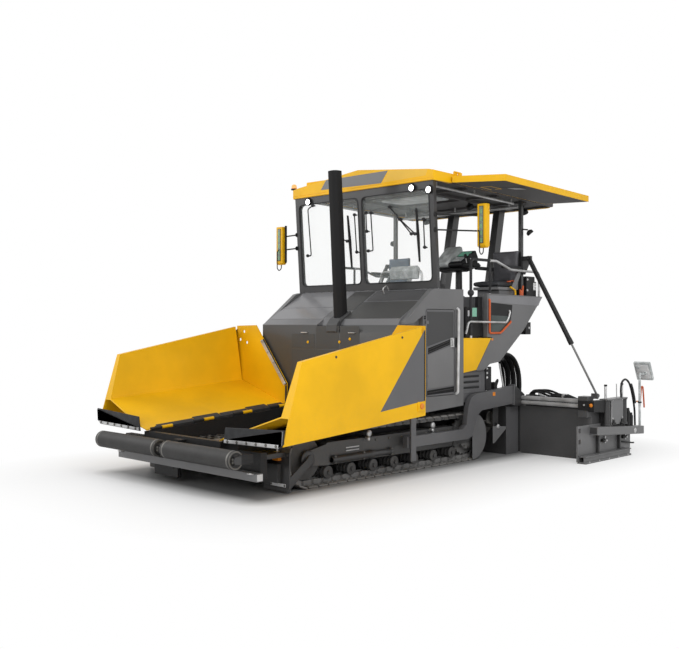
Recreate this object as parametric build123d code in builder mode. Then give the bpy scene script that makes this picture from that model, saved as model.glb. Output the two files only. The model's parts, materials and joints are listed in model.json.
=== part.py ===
from build123d import *
from math import atan2, ceil, cos, pi, radians, sin, sqrt, tan
import os

os.makedirs("parts", exist_ok=True)

# Tracked asphalt paver, millimetres. +X is the machine's left, -Y its front, +Z up.
# The origin is the centre of the machine's footprint, on the ground.

# Clearances
seat = 0.3            # between two pieces that are bolted together
running = 8.0         # between a moving piece and its neighbour
play = 0.6            # round a pin in its bore

# Tracks
track_outer = 1181.0
shoe_width = 305.0
idler_y = -2060.0
sprocket_y = 830.0
loop_radius = 312.0   # to the tips of the shoes
shoe_height = 22.0
shoe_length = 122.0
shoe_pitch = 150.0
band = 30.0
roller_radius = 78.0
roller_count = 7
cross_beams = (-1000.0, 180.0)   # Y of the beams that carry a track
wheel_width = 190.0

# Main frame
tunnel_half = 640.0
beam_outer = track_outer - shoe_width - 16
frame_front = -2790.0
frame_rear = 1110.0
beam_bottom = 290.0
tunnel_floor = 342.0
plate = 12.0
base_top = 760.0
base_plate = 20.0
base_front = -690.0
body_half = 1180.0    # half width of the bodywork without its side panels
side_outer = body_half + 70    # outer face of the side panels

# Hopper
hinge_x = 668.0
hinge_front = (-2820.0, 555.0)   # Y, Z of the front end of the wing's hinge line
hinge_rear = (-725.0, 704.0)
wing_outer = 1680.0
wing_top_front = (-2647.0, 1387.0)
wing_top_rear = (-725.0, 1742.0)
wing_toe = (-2896.0, 574.0)
floor_rise = 0.33     # sideways slope of the wing's floor
floor_fold = 1560.0   # where floor and wall meet
sheet = 14.0
knuckle_radius = 20.0
knuckle_length = 150.0
hinge_pin = 10.0

# Push rollers and bumper
roller_axis = (-3119.0, 420.0)
push_radius = 95.0
push_inner = 62.0
push_outer = 1236.0
push_end = 1272.0
push_pin = 24.0
bumper_z = 220.0
bumper_height = 80.0
tie_x = 1120.0        # holes for lashing the machine down
tie_radius = 20.0

# Bodywork
hood_front = -697.0
hood_front_top = 1757.0
hood_top = 2200.0
hood_break = 45.0
hood_rear = 150.0
lower_front = 60.0
lower_rear = 1130.0
deck_top = 1580.0
deck_plate = 40.0
console_front = 1450.0
console_rear = 2400.0
console_top = 2140.0
seat_base = console_top + 85
shell = 20.0

# Windshield and canopy
glass_foot = (73.0, 2202.5)      # Y, Z of the windshield frame's foot
glass_lean = 3.85
glass_half = body_half + 60
frame_depth = 60.0
roof_front = -66.0
roof_rear = 2700.0
roof_half = 1300.0
roof_crown = 3790.0
roof_eave = roof_crown - 150
roof_shoulder = roof_crown - 125
roof_under = roof_crown - 230
roof_lip = roof_crown - 265
roof_corner = 38.0    # how far the front corners are cut back sideways
roof_fall = 0.034     # how fast the roof falls to the rear
awning_reach = 700.0
awning_drop = 62.0     # how far the awning hangs below its hinge line
awning_droop = 30.0
awning_front = 220.0
awning_skew = 150.0    # how far the front edge falls back over the reach
awning_rear = 2330.0
awning_thick = 80.0
awning_fold = 180.0   # degrees from standing out to lying on the roof
post_x = 1150.0

# Screed and its arms
pivot = (-480.0, 370.0)          # Y, Z of the tow point
pivot_pin = 26.0
arm_inner = track_outer + 16
arm_outer = arm_inner + 73
screed_front = 1590.0
screed_rear = 1880.0
main_half = 1190.0
screed_top = 650.0
guide_z = (700.0, 764.0)
guide_y = 1846.0
guide_radius = 27.0
housing_end = arm_outer + 15
extension_inner = main_half + 25
extension_front = 1890.0
extension_rear = 2330.0
gate_inner = 2300.0
gate_outer = gate_inner + 145
slide_travel = 860.0
walk_rear = 2720.0
gate_holes = (1560.0, 340.0)     # Y, Z of the middle of the end gate's bolt holes
gate_hole_pitch = 140.0
gate_hole_radius = 16.0
hose_radius = 19.0
hose_places = (760.0, 850.0, 940.0, 1030.0)   # X of the hoses between tractor and screed
auger_y = 1372.0
auger_z = 420.0
auger_radius = 185.0
auger_shaft = 45.0
auger_journal = 22.0
strut_y = 1975.0
strut_top = (1300.0, 2670.0)     # X, Z of the strut's upper pin
strut_foot = (2336.0, 836.0)
strut_tube = 1260.0
strut_radius = 32.0
strut_rod = 14.0


def write(part, name):
    part.label = name
    export_step(part, f"parts/{name}.step")


def write_pair(part, name):
    write(part, f"{name}_left")
    write(mirror(part, about=Plane.YZ), f"{name}_right")


def write_both(part, name):
    """The left piece and its mirror image as two solids of one node."""
    with BuildPart() as both:
        add(part)
        add(mirror(part, about=Plane.YZ))
    write(both.part, name)


def along(plane_x, points, thickness):
    """Plate whose outline lies in the YZ plane, from plane_x outwards."""
    with BuildPart() as piece:
        with BuildSketch(Plane.YZ.offset(plane_x)):
            with BuildLine():
                Polyline(points, close=True)
            make_face()
        extrude(amount=thickness)
    return piece.part


def across(half, points):
    """Plate whose outline lies in the YZ plane, on both sides of the centre line."""
    with BuildPart() as piece:
        with BuildSketch(Plane.YZ):
            with BuildLine():
                Polyline(points, close=True)
            make_face()
        extrude(amount=half, both=True)
    return piece.part


def block(x, y, z):
    """Box from three (low, high) pairs."""
    with BuildPart() as piece:
        with BuildSketch(Plane.XY.offset(z[0])):
            with Locations(((x[0] + x[1]) / 2, (y[0] + y[1]) / 2)):
                Rectangle(x[1] - x[0], y[1] - y[0])
        extrude(amount=z[1] - z[0])
    return piece.part


def rod_x(x, y, z, radius):
    """Round bar along X."""
    with BuildPart() as piece:
        with BuildSketch(Plane.YZ.offset(x[0])):
            with Locations((y, z)):
                Circle(radius)
        extrude(amount=x[1] - x[0])
    return piece.part


# Tracks: one closed loop each, its shoes standing out of the outline
track_inner = track_outer - shoe_width
loop_z = loop_radius
run = sprocket_y - idler_y
band_radius = loop_radius - shoe_height
inside_radius = band_radius - band
straight_shoes = int(run // shoe_pitch)
bend_shoes = ceil(pi * band_radius / shoe_pitch)
bend_shoe_z = sqrt(loop_radius ** 2 - shoe_length ** 2 / 4) - shoe_height
with BuildPart() as track_left:
    with BuildSketch(Plane.YZ.offset(track_inner)):
        with Locations(((idler_y + sprocket_y) / 2, loop_z)):
            SlotOverall(run + 2 * band_radius, 2 * band_radius)
        for side in (-1, 1):
            for i in range(straight_shoes):
                y = idler_y + run * (i + 0.5) / straight_shoes
                with Locations((y, loop_z + side * (loop_radius - shoe_height))):
                    Rectangle(shoe_length, 2 * shoe_height)
        for centre, first in ((sprocket_y, -90), (idler_y, 90)):
            for i in range(bend_shoes):
                turn = first + 180 * (i + 0.5) / bend_shoes
                y = centre + bend_shoe_z * cos(radians(turn))
                z = loop_z + bend_shoe_z * sin(radians(turn))
                with Locations(Location((y, z), turn)):
                    Rectangle(2 * shoe_height, shoe_length)
        with Locations(((idler_y + sprocket_y) / 2, loop_z)):
            SlotOverall(run + 2 * inside_radius, 2 * inside_radius, mode=Mode.SUBTRACT)
    extrude(amount=shoe_width)
write_pair(track_left.part, "track")

# Track frames: a box beam, forked at the idler, with its roller brackets
track_centre = track_outer - shoe_width / 2
wheel_inner = track_centre - wheel_width / 2
wheel_outer = track_centre + wheel_width / 2
roller_z = loop_radius - inside_radius + roller_radius + seat
beam_low = roller_z + roller_radius + 6
beam_high = loop_z + 150
frame_start = idler_y + inside_radius + 30
frame_end = sprocket_y - inside_radius - 30
with BuildPart() as track_frame_left:
    add(block((wheel_inner, wheel_outer), (frame_start, frame_end), (beam_low, beam_high)))
    add(block((wheel_inner - 16, wheel_outer + 16), (frame_start, frame_start + 40), (beam_low, beam_high)))
    add(block((wheel_inner - 16, wheel_outer + 16), (frame_end - 40, frame_end), (beam_low, beam_high)))
    for x in (wheel_inner - 16, wheel_outer + seat):
        add(along(x, [(idler_y - 60, loop_z - 70), (idler_y - 60, loop_z + 70),
                      (frame_start + 20, loop_z + 140), (frame_start + 20, beam_low)], 15))
        add(along(x, [(sprocket_y + 60, loop_z - 70), (sprocket_y + 60, loop_z + 70),
                      (frame_end - 20, loop_z + 140), (frame_end - 20, beam_low)], 15))
    for y in cross_beams:
        add(block((beam_outer + seat, wheel_inner), (y, y + 120), (beam_low + 20, beam_high - 40)))
    with Locations(Location((wheel_outer + 22, -1200, beam_low + 54), (90, 0, 0))):
        Cylinder(34, 1000)
write_both(track_frame_left.part, "track_frames")

with BuildPart() as sprockets:
    for side in (-1, 1):
        add(rod_x((side * track_centre - wheel_width / 2, side * track_centre + wheel_width / 2),
                  sprocket_y, loop_z, inside_radius - seat))
write(sprockets.part, "sprockets")

roller_start = idler_y + inside_radius + roller_radius
roller_end = sprocket_y - inside_radius - roller_radius
carrier_radius = 40.0
with BuildPart() as track_rollers:
    for side in (-1, 1):
        add(rod_x((side * track_centre - wheel_width / 2, side * track_centre + wheel_width / 2),
                  idler_y, loop_z, inside_radius - seat))
        for i in range(roller_count):
            y = roller_start + (roller_end - roller_start) * i / (roller_count - 1)
            add(rod_x((side * track_centre - wheel_width / 2, side * track_centre + wheel_width / 2),
                      y, roller_z, roller_radius))
        for y in (-1068, 99):
            add(rod_x((side * track_centre - wheel_width / 2, side * track_centre + wheel_width / 2),
                      y, beam_high + seat + carrier_radius, carrier_radius))
write(track_rollers.part, "track_rollers")

# Hinge line of the hopper's wings: it climbs to the rear
hinge_slope = (hinge_rear[1] - hinge_front[1]) / (hinge_rear[0] - hinge_front[0])
tilt = atan2(hinge_rear[1] - hinge_front[1], hinge_rear[0] - hinge_front[0])
section = Plane(origin=(0, hinge_front[0], hinge_front[1]), x_dir=(1, 0, 0),
                z_dir=(0, -cos(tilt), -sin(tilt)))
hinge_length = (hinge_rear[0] - hinge_front[0]) / cos(tilt)
knuckle_places = [140 + i * (hinge_length - 280) / 3 for i in range(4)]


def hinge_z(y):
    return hinge_front[1] + hinge_slope * (y - hinge_front[0])


# Main frame: two beams beside the conveyor tunnel, cross members and the body's base
push_hinge = frame_front - 125
beam_back = frame_front - 135
beam_top_front = hinge_z(frame_front) - 45
beam_top_rear = hinge_z(hood_front) - 45
with BuildPart() as main_frame:
    for side in (-1, 1):
        low, high = sorted((side * tunnel_half, side * beam_outer))
        add(along(low, [(frame_front, beam_bottom), (frame_front, beam_top_front),
                        (base_front, beam_top_rear), (base_front, base_top - base_plate),
                        (frame_rear, base_top - base_plate), (frame_rear, beam_bottom)], high - low))
        hinge_low, hinge_high = sorted((side * tunnel_half, side * (tunnel_half + plate)))
        add(along(hinge_low, [(frame_front, beam_top_front - 5), (frame_front, beam_top_front + 20),
                              (base_front, beam_top_rear + 20), (base_front, beam_top_rear - 5)],
                  hinge_high - hinge_low))
        guard_low, guard_high = sorted((side * beam_outer, side * 1240))
        add(block((guard_low, guard_high), (frame_front - 10, frame_front + 70), (200, 460)))
    add(block((-beam_outer, beam_outer), (frame_front - 10, frame_front + 70), (200, tunnel_floor)))
    add(block((-tunnel_half, tunnel_half), (frame_front, frame_rear), (tunnel_floor - plate, tunnel_floor)))
    add(block((-body_half, body_half), (base_front, lower_rear), (base_top - base_plate, base_top)))
    # lip before the conveyors, with the push beam's pivot
    add(block((-tunnel_half - 20, tunnel_half + 20), (frame_front - 70, frame_front), (300, 530)))
    for z in (335, 490):
        add(block((-60, 60), (push_hinge - 30, frame_front - 69), (z, z + 15)))
    with Locations((0, push_hinge, roller_axis[1])):
        Cylinder(14, 160)
    # knuckles and pins that carry the wings
    for side in (-1, 1):
        for place in knuckle_places:
            with BuildSketch(section.offset(-place + knuckle_length)):
                with Locations((side * hinge_x, 0)):
                    Circle(knuckle_radius)
                with Locations((side * (hinge_x - 2), -30)):
                    Rectangle(30, 50)
            extrude(amount=-knuckle_length + 5)
            with BuildSketch(section.offset(-place + knuckle_length)):
                with Locations((side * hinge_x, 0)):
                    Circle(hinge_pin)
            extrude(amount=-2 * knuckle_length)
write(main_frame.part, "main_frame")

# Conveyors: two slatted loops side by side in the tunnel
with BuildPart() as conveyors:
    for side in (-1, 1):
        x = side * tunnel_half / 2
        add(block((x - 270, x + 270), (frame_front + 20, frame_rear - 10), (tunnel_floor + seat, 430)))
write(conveyors.part, "conveyors")

# Hopper wings: sloping floor, wall and rear plate, hinged beside the tunnel
with BuildPart() as wing_left:
    with BuildSketch(section.offset(120)):
        with BuildLine():
            Polyline([(hinge_x + 10, 4), (floor_fold, (floor_fold - hinge_x) * floor_rise),
                      (wing_outer - plate, 1300), (wing_outer, 1300), (wing_outer, 20),
                      (wing_outer - plate, 20),
                      (wing_outer - plate, (wing_outer - hinge_x) * floor_rise - sheet - 40),
                      (floor_fold, (floor_fold - hinge_x) * floor_rise - sheet), (hinge_x + 10, 4 - sheet)],
                     close=True)
        make_face()
    extrude(amount=-hinge_length - 120)
    with BuildSketch(Plane.YZ):
        with BuildLine():
            Polyline([(wing_toe[0] + 13, 500), (wing_toe[0] + 13, hinge_z(wing_toe[0])), wing_toe,
                      wing_top_front,
                      wing_top_rear, (hinge_rear[0], 400)], close=True)
        make_face()
    extrude(amount=wing_outer + 10, mode=Mode.INTERSECT)
    # rear plate
    with BuildSketch(Plane.XZ.offset(-hinge_rear[0])):
        with BuildLine():
            Polyline([(hinge_x - 4, hinge_rear[1] + 8), (hinge_x - 24, hinge_rear[1] + 277),
                      (1272, wing_top_rear[1] + 8), (wing_outer, wing_top_rear[1]),
                      (wing_outer, hinge_rear[1] + 40),
                      (hinge_x + 30, hinge_rear[1] + 2)], close=True)
        make_face()
    extrude(amount=plate)
    with Locations((wing_outer - 150, hinge_rear[0], wing_top_rear[1] - 80),
                   (wing_outer - 70, hinge_rear[0], wing_top_rear[1] - 190),
                   (wing_outer - 210, hinge_rear[0], wing_top_rear[1] - 230)):
        Cylinder(22, 80, rotation=(90, 0, 0), mode=Mode.SUBTRACT)
    # barrels on the hinge pins
    for place in knuckle_places:
        with BuildSketch(section.offset(-place)):
            with Locations((hinge_x, 0)):
                Circle(knuckle_radius)
        extrude(amount=-knuckle_length + 5)
        with BuildSketch(section.offset(-place)):
            with Locations((hinge_x, 0)):
                Circle(hinge_pin + play)
        extrude(amount=-knuckle_length + 5, mode=Mode.SUBTRACT)
        with BuildSketch(section.offset(-place + knuckle_length)):
            with Locations((hinge_x, 0)):
                Circle(knuckle_radius + running)
        extrude(amount=-knuckle_length, mode=Mode.SUBTRACT)
write_pair(wing_left.part, "wing")

# Rubber flaps that close the front of the wings
with BuildPart() as front_flap_left:
    with BuildSketch(Plane.XZ.offset(-wing_toe[0])):
        with BuildLine():
            Polyline([(770, 528), (1640, 548), (1700, 600), (1704, 735), (800, 694)], close=True)
        make_face()
    extrude(amount=plate)
write_pair(front_flap_left.part, "front_flap")

# Bumper bar and push beam with its two rollers
bumper_y = frame_front - 10 - seat
with BuildPart() as bumper_bar:
    add(block((-push_end, push_end), (bumper_y - 80, bumper_y),
              (bumper_z - bumper_height / 2, bumper_z + bumper_height / 2)))
    add(block((-570, -120), (bumper_y - 45, bumper_y - 5), (60, bumper_z)))
    with Locations((-tie_x, bumper_y - 40, bumper_z), (tie_x, bumper_y - 40, bumper_z)):
        Cylinder(tie_radius, 2 * bumper_height, mode=Mode.SUBTRACT)
write(bumper_bar.part, "bumper_bar")

with BuildPart() as push_beam:
    add(block((-push_end, push_end), (roller_axis[0] + push_radius + running, beam_back), (375, 465)))
    with Locations((0, push_hinge, roller_axis[1])):
        Cylinder(34, 90)
        Cylinder(14 + play, 300, mode=Mode.SUBTRACT)
    for low, high in ((-push_end, -push_outer - 4), (-push_inner + 4, push_inner - 4),
                      (push_outer + 4, push_end)):
        add(along(low, [(beam_back - 20, 375), (beam_back - 20, 465), (roller_axis[0] - 45, 465),
                        (roller_axis[0] - 45, 375)], high - low))
    for side in (-1, 1):
        low, high = sorted((side * push_outer + side * 4, side * (push_inner - 4)))
        add(rod_x((low, high), roller_axis[0], roller_axis[1], push_pin))
write(push_beam.part, "push_beam")

for name, low, high in (("left", push_inner, push_outer), ("right", -push_outer, -push_inner)):
    with BuildPart() as push_roller:
        add(rod_x((low, high), roller_axis[0], roller_axis[1], push_radius))
        add(rod_x((low - 1, high + 1), roller_axis[0], roller_axis[1], push_pin + play), mode=Mode.SUBTRACT)
    write(push_roller.part, f"push_roller_{name}")

# Guards before and behind the tracks
guard_front = idler_y - loop_radius - 68
with BuildPart() as track_guard_left:
    add(block((track_inner - 10, arm_outer), (guard_front, guard_front + 18), (15, 430)))
    add(along(track_outer + 4, [(guard_front + 10, 30), (guard_front + 10, 110), (idler_y - 30, loop_z + 30),
                                (idler_y + 30, loop_z - 30), (guard_front + 80, 30)], 14))
    add(block((beam_outer + seat, track_outer + 18), (frame_front + 70 + seat, guard_front + 10), (380, 430)))
    with BuildSketch(Plane.YZ.offset(track_outer + seat)):
        with Locations((sprocket_y, loop_z)):
            Circle(loop_radius - 2)
        with Locations((sprocket_y - loop_radius, loop_z)):
            Rectangle(2 * loop_radius, 2 * loop_radius, mode=Mode.SUBTRACT)
    extrude(amount=9)
write_both(track_guard_left.part, "track_guards")

# Engine: one plain block on the base
with BuildPart() as engine:
    add(block((-560, 560), (-640, 20), (base_top + seat, 1560)))
write(engine.part, "engine")

# Hood: a sheet housing, open below, its left half bevelled at the front
hood_outline = [(hood_front, base_top + seat), (hood_front, hood_front_top), (hood_break, hood_top),
                (hood_rear, hood_top), (hood_rear, deck_top + seat), (lower_front, deck_top + seat),
                (lower_front, base_top + seat)]
with BuildPart() as hood:
    add(across(body_half, hood_outline))
    with BuildSketch(Plane.YZ.offset(-120)):
        with BuildLine():
            Polyline([(hood_front - 10, hood_front_top - 117), (hood_front - 10, hood_front_top + 143),
                      (hood_front + 120, hood_front_top + 143), (hood_front + 120, hood_front_top + 71)],
                     close=True)
        make_face()
    extrude(amount=body_half + 200, mode=Mode.SUBTRACT)
    with BuildSketch(Plane.YZ):
        with BuildLine():
            Polyline([(hood_front + 30, base_top), (hood_front + 30, hood_front_top - 137),
                      (hood_break - 50, hood_top - 80),
                      (lower_front - shell, hood_top - 80), (lower_front - shell, base_top)], close=True)
        make_face()
    extrude(amount=body_half - shell, both=True, mode=Mode.SUBTRACT)
write(hood.part, "hood")

# Side frames with their door openings
door_front = -195.0
door_rear = 385.0
door_low = 878.0
door_high = 1948.0
door_axis = (side_outer + 10, door_front - 6)
door_hinges = (1080.0, 1740.0)
side_outline = [(-240, 690), (560, 733), (560, hood_top + 2), (0, hood_top), (-80, hood_top - 20),
                (-590, 1787),
                (-590, 1760), (-415, 1776), (-240, 1868)]
with BuildPart() as side_frame_left:
    add(along(body_half + seat, side_outline, side_outer - body_half - seat))
    with BuildSketch(Plane.YZ.offset(body_half)):
        with Locations(((door_front + door_rear) / 2, (door_low + door_high) / 2)):
            RectangleRounded(door_rear - door_front, door_high - door_low, 40)
    extrude(amount=side_outer, mode=Mode.SUBTRACT)
    for z in door_hinges:
        with Locations((door_axis[0], door_axis[1], z)):
            Cylinder(9, 40)
            Cylinder(4, 84, align=(Align.CENTER, Align.CENTER, Align.MIN))
        add(block((side_outer - 10, door_axis[0]), (door_axis[1] - 24, door_axis[1]), (z - 20, z + 20)))
write_both(side_frame_left.part, "side_frames")

with BuildPart() as service_door_left:
    with BuildSketch(Plane.YZ.offset(side_outer - 28 - seat)):
        with Locations(((door_front + door_rear) / 2, (door_low + door_high) / 2)):
            RectangleRounded(door_rear - door_front - 2 * running, door_high - door_low - 2 * running, 34)
    extrude(amount=28)
    for z in door_hinges:
        add(block((side_outer + seat, door_axis[0]), (door_axis[1], door_axis[1] + 50), (z + 25, z + 65)))
        add(block((side_outer - 5, side_outer + 2), (door_front + 12, door_axis[1] + 50), (z + 25, z + 65)))
        with Locations((door_axis[0], door_axis[1], z + 45)):
            Cylinder(9, 40)
            Cylinder(4 + play, 60, mode=Mode.SUBTRACT)
write_pair(service_door_left.part, "service_door")

# Lower body behind the hood, open below, with louvred sides
with BuildPart() as lower_body:
    add(block((-body_half, body_half), (lower_front + seat, lower_rear),
              (base_top + seat, deck_top - deck_plate - seat)))
    add(block((-body_half + shell, body_half - shell), (lower_front + shell, lower_rear - shell),
              (base_top, deck_top - deck_plate - shell)), mode=Mode.SUBTRACT)
    for side in (-1, 1):
        low, high = sorted((side * (body_half - 1), side * (body_half + 9)))
        add(block((low, high), (570, lower_rear), (874, 1140)))
        low, high = sorted((side * (body_half + 3), side * (body_half + 20)))
        for i in range(3):
            z = 925 + 72 * i
            add(block((low, high), (600, 985), (z, z + 34)), mode=Mode.SUBTRACT)
write(lower_body.part, "lower_body")

with BuildPart() as yellow_panel_left:
    add(along(body_half + seat, [(565, 1143), (835, 1172), (1167, 1580), (565, 1586)],
              side_outer - body_half - seat))
write_both(yellow_panel_left.part, "yellow_panels")

with BuildPart() as side_console_left:
    add(along(body_half + seat, [(1080, 2165), (2410, 2150), (1930, 1680), (1360, 1262), (1140, 1240),
                                 (1010, 1165),
                                 (840, 1165), (1180, 1580), (1172, 1592), (1080, 1592)],
              side_outer - body_half - seat))
write_both(side_console_left.part, "side_consoles")

# Platform: deck and the closed console behind it
with BuildPart() as deck:
    add(block((-body_half, body_half), (lower_front + seat, console_front + 300),
              (deck_top - deck_plate, deck_top)))
write(deck.part, "deck")

with BuildPart() as rear_console:
    add(across(body_half, [(console_front, deck_top + seat), (console_front, console_top),
                           (console_rear, console_top), (console_rear - 475, 1685), (1790, deck_top + seat)]))
    add(across(body_half - shell, [(console_front + shell, deck_top),
                                   (console_front + shell, console_top - shell),
                                   (console_rear - 65, console_top - shell), (console_rear - 495, 1700),
                                   (1790 - 30, deck_top)]), mode=Mode.SUBTRACT)
    for side in (-1, 1):
        add(block((side * 975 - 180, side * 975 + 180), (1480, 1880), (console_top - 1, seat_base)))
write(rear_console.part, "rear_console")

with BuildPart() as rear_apron:
    add(across(body_half, [(lower_rear + seat, 1240), (lower_rear + seat, deck_top - deck_plate - seat),
                           (1740, deck_top - deck_plate - seat), (1360, 1262)]))
    add(across(body_half - shell, [(lower_rear + shell, 1262), (lower_rear + shell, deck_top),
                                   (1700, deck_top), (1350, 1284)]), mode=Mode.SUBTRACT)
write(rear_apron.part, "rear_apron")

# Exhaust stack on the hood
stack_x = 150.0
stack_y = -541.0
stack_top = 3702.0
hood_pitch = (hood_top - hood_front_top) / (hood_break - hood_front)
stack_plane = Plane(origin=(stack_x, stack_y, 1780),
                    z_dir=(-sin(radians(1.4)), -sin(radians(1.8)), 1))
with BuildPart() as exhaust_stack:
    with BuildSketch(stack_plane):
        RectangleRounded(165, 150, 60)
    extrude(amount=stack_top - 1780)
    with BuildSketch(stack_plane.offset(stack_top - 1780)):
        RectangleRounded(135, 120, 50)
    extrude(amount=-120, mode=Mode.SUBTRACT)
    with BuildSketch(Plane.YZ):
        with BuildLine():
            Polyline([(hood_front, 1500), (hood_front, hood_front_top + seat + 0.1),
                      (hood_break, hood_top + seat + 0.1), (hood_break, 1500)], close=True)
        make_face()
    extrude(amount=400, both=True, mode=Mode.SUBTRACT)
write(exhaust_stack.part, "exhaust_stack")

# Cross section of the roof, seen from the front; it falls to the rear
fall = atan2(roof_fall, 1)
roof_section = Plane(origin=(0, roof_front, roof_lip), x_dir=(1, 0, 0), z_dir=(0, -cos(fall), sin(fall)))


def ceiling(y):
    return roof_lip + (roof_under - roof_lip) / cos(fall) - roof_fall * (y - roof_front)


# Windshield frame, leaning forward, with two rounded panes
lean = radians(glass_lean)
screen = Plane(origin=(0, glass_foot[0], glass_foot[1]), x_dir=(1, 0, 0), z_dir=(0, -cos(lean), -sin(lean)))
glass_top = ceiling(glass_foot[0] - frame_depth) - seat - frame_depth / 2 * sin(lean)
glass_height = (glass_top - glass_foot[1]) / cos(lean)
pillar = 75.0
sill = 95.0
header = 130.0
pane_width = glass_half - pillar - 35
pane_height = glass_height - sill - header
pane_places = [(side * (35 + pane_width / 2), sill + pane_height / 2) for side in (-1, 1)]
with BuildPart() as windshield_frame:
    with BuildSketch(screen):
        with Locations((0, glass_height / 2)):
            Rectangle(2 * glass_half, glass_height)
        with Locations(*pane_places):
            RectangleRounded(pane_width, pane_height, 70, mode=Mode.SUBTRACT)
    extrude(amount=frame_depth / 2, both=True)
write(windshield_frame.part, "windshield_frame")

with BuildPart() as windshield_glass:
    with BuildSketch(screen):
        with Locations(*pane_places):
            RectangleRounded(pane_width - 2 * seat, pane_height - 2 * seat, 70 - seat)
    extrude(amount=3, both=True)
write(windshield_glass.part, "windshield_glass")

# Canopy roof: crowned across, falling to the rear, its underside a shallow tray
roof_length = roof_rear - roof_front
awning_pin = 6.0
eave = roof_eave - roof_lip
shoulder = roof_shoulder - roof_lip
awning_axis = (roof_half + 14, shoulder)
awning_knuckles = [60 + i * (awning_rear - awning_front - 220) / 2 for i in range(3)]
awning_offset = awning_front - roof_front
awning_top = awning_axis[1] - awning_drop
with BuildPart() as canopy_roof:
    with BuildSketch(roof_section.offset(300)):
        with BuildLine():
            Polyline([(-roof_half, 0), (-roof_half, eave), (110 - roof_half, shoulder),
                      (0, roof_crown - roof_lip),
                      (roof_half - 110, shoulder), (roof_half, eave), (roof_half, 0)], close=True)
        make_face()
    extrude(amount=-roof_length - 600)
    with BuildSketch(Plane.XY.offset(3000)):
        with BuildLine():
            Polyline([(roof_corner - roof_half, roof_front), (roof_half - roof_corner, roof_front),
                      (roof_half, 237), (roof_half, roof_rear - 100),
                      (roof_half - 150, roof_rear), (150 - roof_half, roof_rear),
                      (-roof_half, roof_rear - 100),
                      (-roof_half, 237)], close=True)
        make_face()
    extrude(amount=1000, mode=Mode.INTERSECT)
    with BuildSketch(roof_section.offset(-15)):
        with Locations((0, roof_under - roof_lip - 100)):
            Rectangle(2 * glass_half + 10, 200)
    extrude(amount=60 - roof_length, mode=Mode.SUBTRACT)
    # ears and pins that carry the awnings
    for side in (-1, 1):
        for place in awning_knuckles:
            with BuildSketch(roof_section.offset(-awning_offset - place)):
                with Locations((side * (roof_half + 8), shoulder - 40)):
                    Rectangle(22, 80)
                with Locations((side * awning_axis[0], awning_axis[1])):
                    Circle(12)
            extrude(amount=-60)
            with BuildSketch(roof_section.offset(-awning_offset - place)):
                with Locations((side * awning_axis[0], awning_axis[1])):
                    Circle(awning_pin)
            extrude(amount=-130)
write(canopy_roof.part, "canopy_roof")

# Rear posts: two broad ones that lean back, two slender ones at the sides
with BuildPart() as canopy_posts:
    for side in (-1, 1):
        low, high = sorted((side * 365, side * 475))
        foot = console_top + seat
        head = ceiling(2620) - seat
        add(along(low, [(2210, foot), (2350, foot), (2620, head), (2480, head)], high - low))
        low, high = sorted((side * (post_x - 25), side * (post_x + 25)))
        add(block((low, high), (strut_y + 10, strut_y + 60), (foot, ceiling(strut_y + 60) - seat)))
        # ear and pin that carry the strut
        low, high = sorted((side * post_x, side * (strut_top[0] + 30)))
        add(block((low, high), (strut_y + 16, strut_y + 40), (strut_top[1] - 30, strut_top[1] + 30)))
        with Locations(Location((side * strut_top[0], strut_y, strut_top[1]), (90, 0, 0))):
            Cylinder(10, 60)
write(canopy_posts.part, "canopy_posts")

# Awnings: the left one stands out from the roof's edge, the right one lies folded on the roof
with BuildPart() as awning_left:
    with BuildSketch(roof_section.offset(-awning_offset)):
        with BuildLine():
            Polyline([(awning_axis[0] + 16, awning_top),
                      (awning_axis[0] + awning_reach, awning_top - awning_droop),
                      (awning_axis[0] + awning_reach, awning_top - awning_droop - awning_thick),
                      (awning_axis[0] + 16, awning_top - awning_thick)], close=True)
        make_face()
    extrude(amount=awning_front - awning_rear)
    with BuildSketch(Plane.XY.offset(roof_under - 300)):
        with BuildLine():
            Polyline([(awning_axis[0], awning_front), (awning_axis[0], awning_front - 50),
                      (awning_axis[0] + awning_reach, awning_front - 50),
                      (awning_axis[0] + awning_reach, awning_front + awning_skew)], close=True)
        make_face()
    extrude(amount=600, mode=Mode.SUBTRACT)
    for place in awning_knuckles:
        with BuildSketch(roof_section.offset(-awning_offset - place - 65)):
            with Locations((awning_axis[0], awning_axis[1])):
                Circle(12)
            with Locations((awning_axis[0] + 17, awning_axis[1] - awning_drop / 2 - 5)):
                Rectangle(22, awning_drop + 10)
        extrude(amount=-60)
        with BuildSketch(roof_section.offset(-awning_offset - place - 65)):
            with Locations((awning_axis[0], awning_axis[1])):
                Circle(awning_pin + play)
        extrude(amount=-60, mode=Mode.SUBTRACT)
write(awning_left.part, "awning_left")

fold_point = (-awning_axis[0], roof_front + awning_axis[1] * sin(fall), roof_lip + awning_axis[1] * cos(fall))
fold_line = Axis(fold_point, (0, cos(fall), -sin(fall)))
awning_right = mirror(awning_left.part, about=Plane.YZ).rotate(fold_line, awning_fold)
write(awning_right, "awning_right")

# Seats on the console
with BuildPart() as seats:
    for side in (-1, 1):
        add(block((side * 975 - 230, side * 975 + 230), (1400, 1860),
                  (seat_base + seat, seat_base + 125)))
        add(along(side * 975 - 230, [(1860, seat_base + seat), (1860, seat_base + 125),
                                     (1870, seat_base + 555),
                                     (1950, seat_base + 555), (1955, seat_base + seat)], 460))
write(seats.part, "seats")

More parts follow.
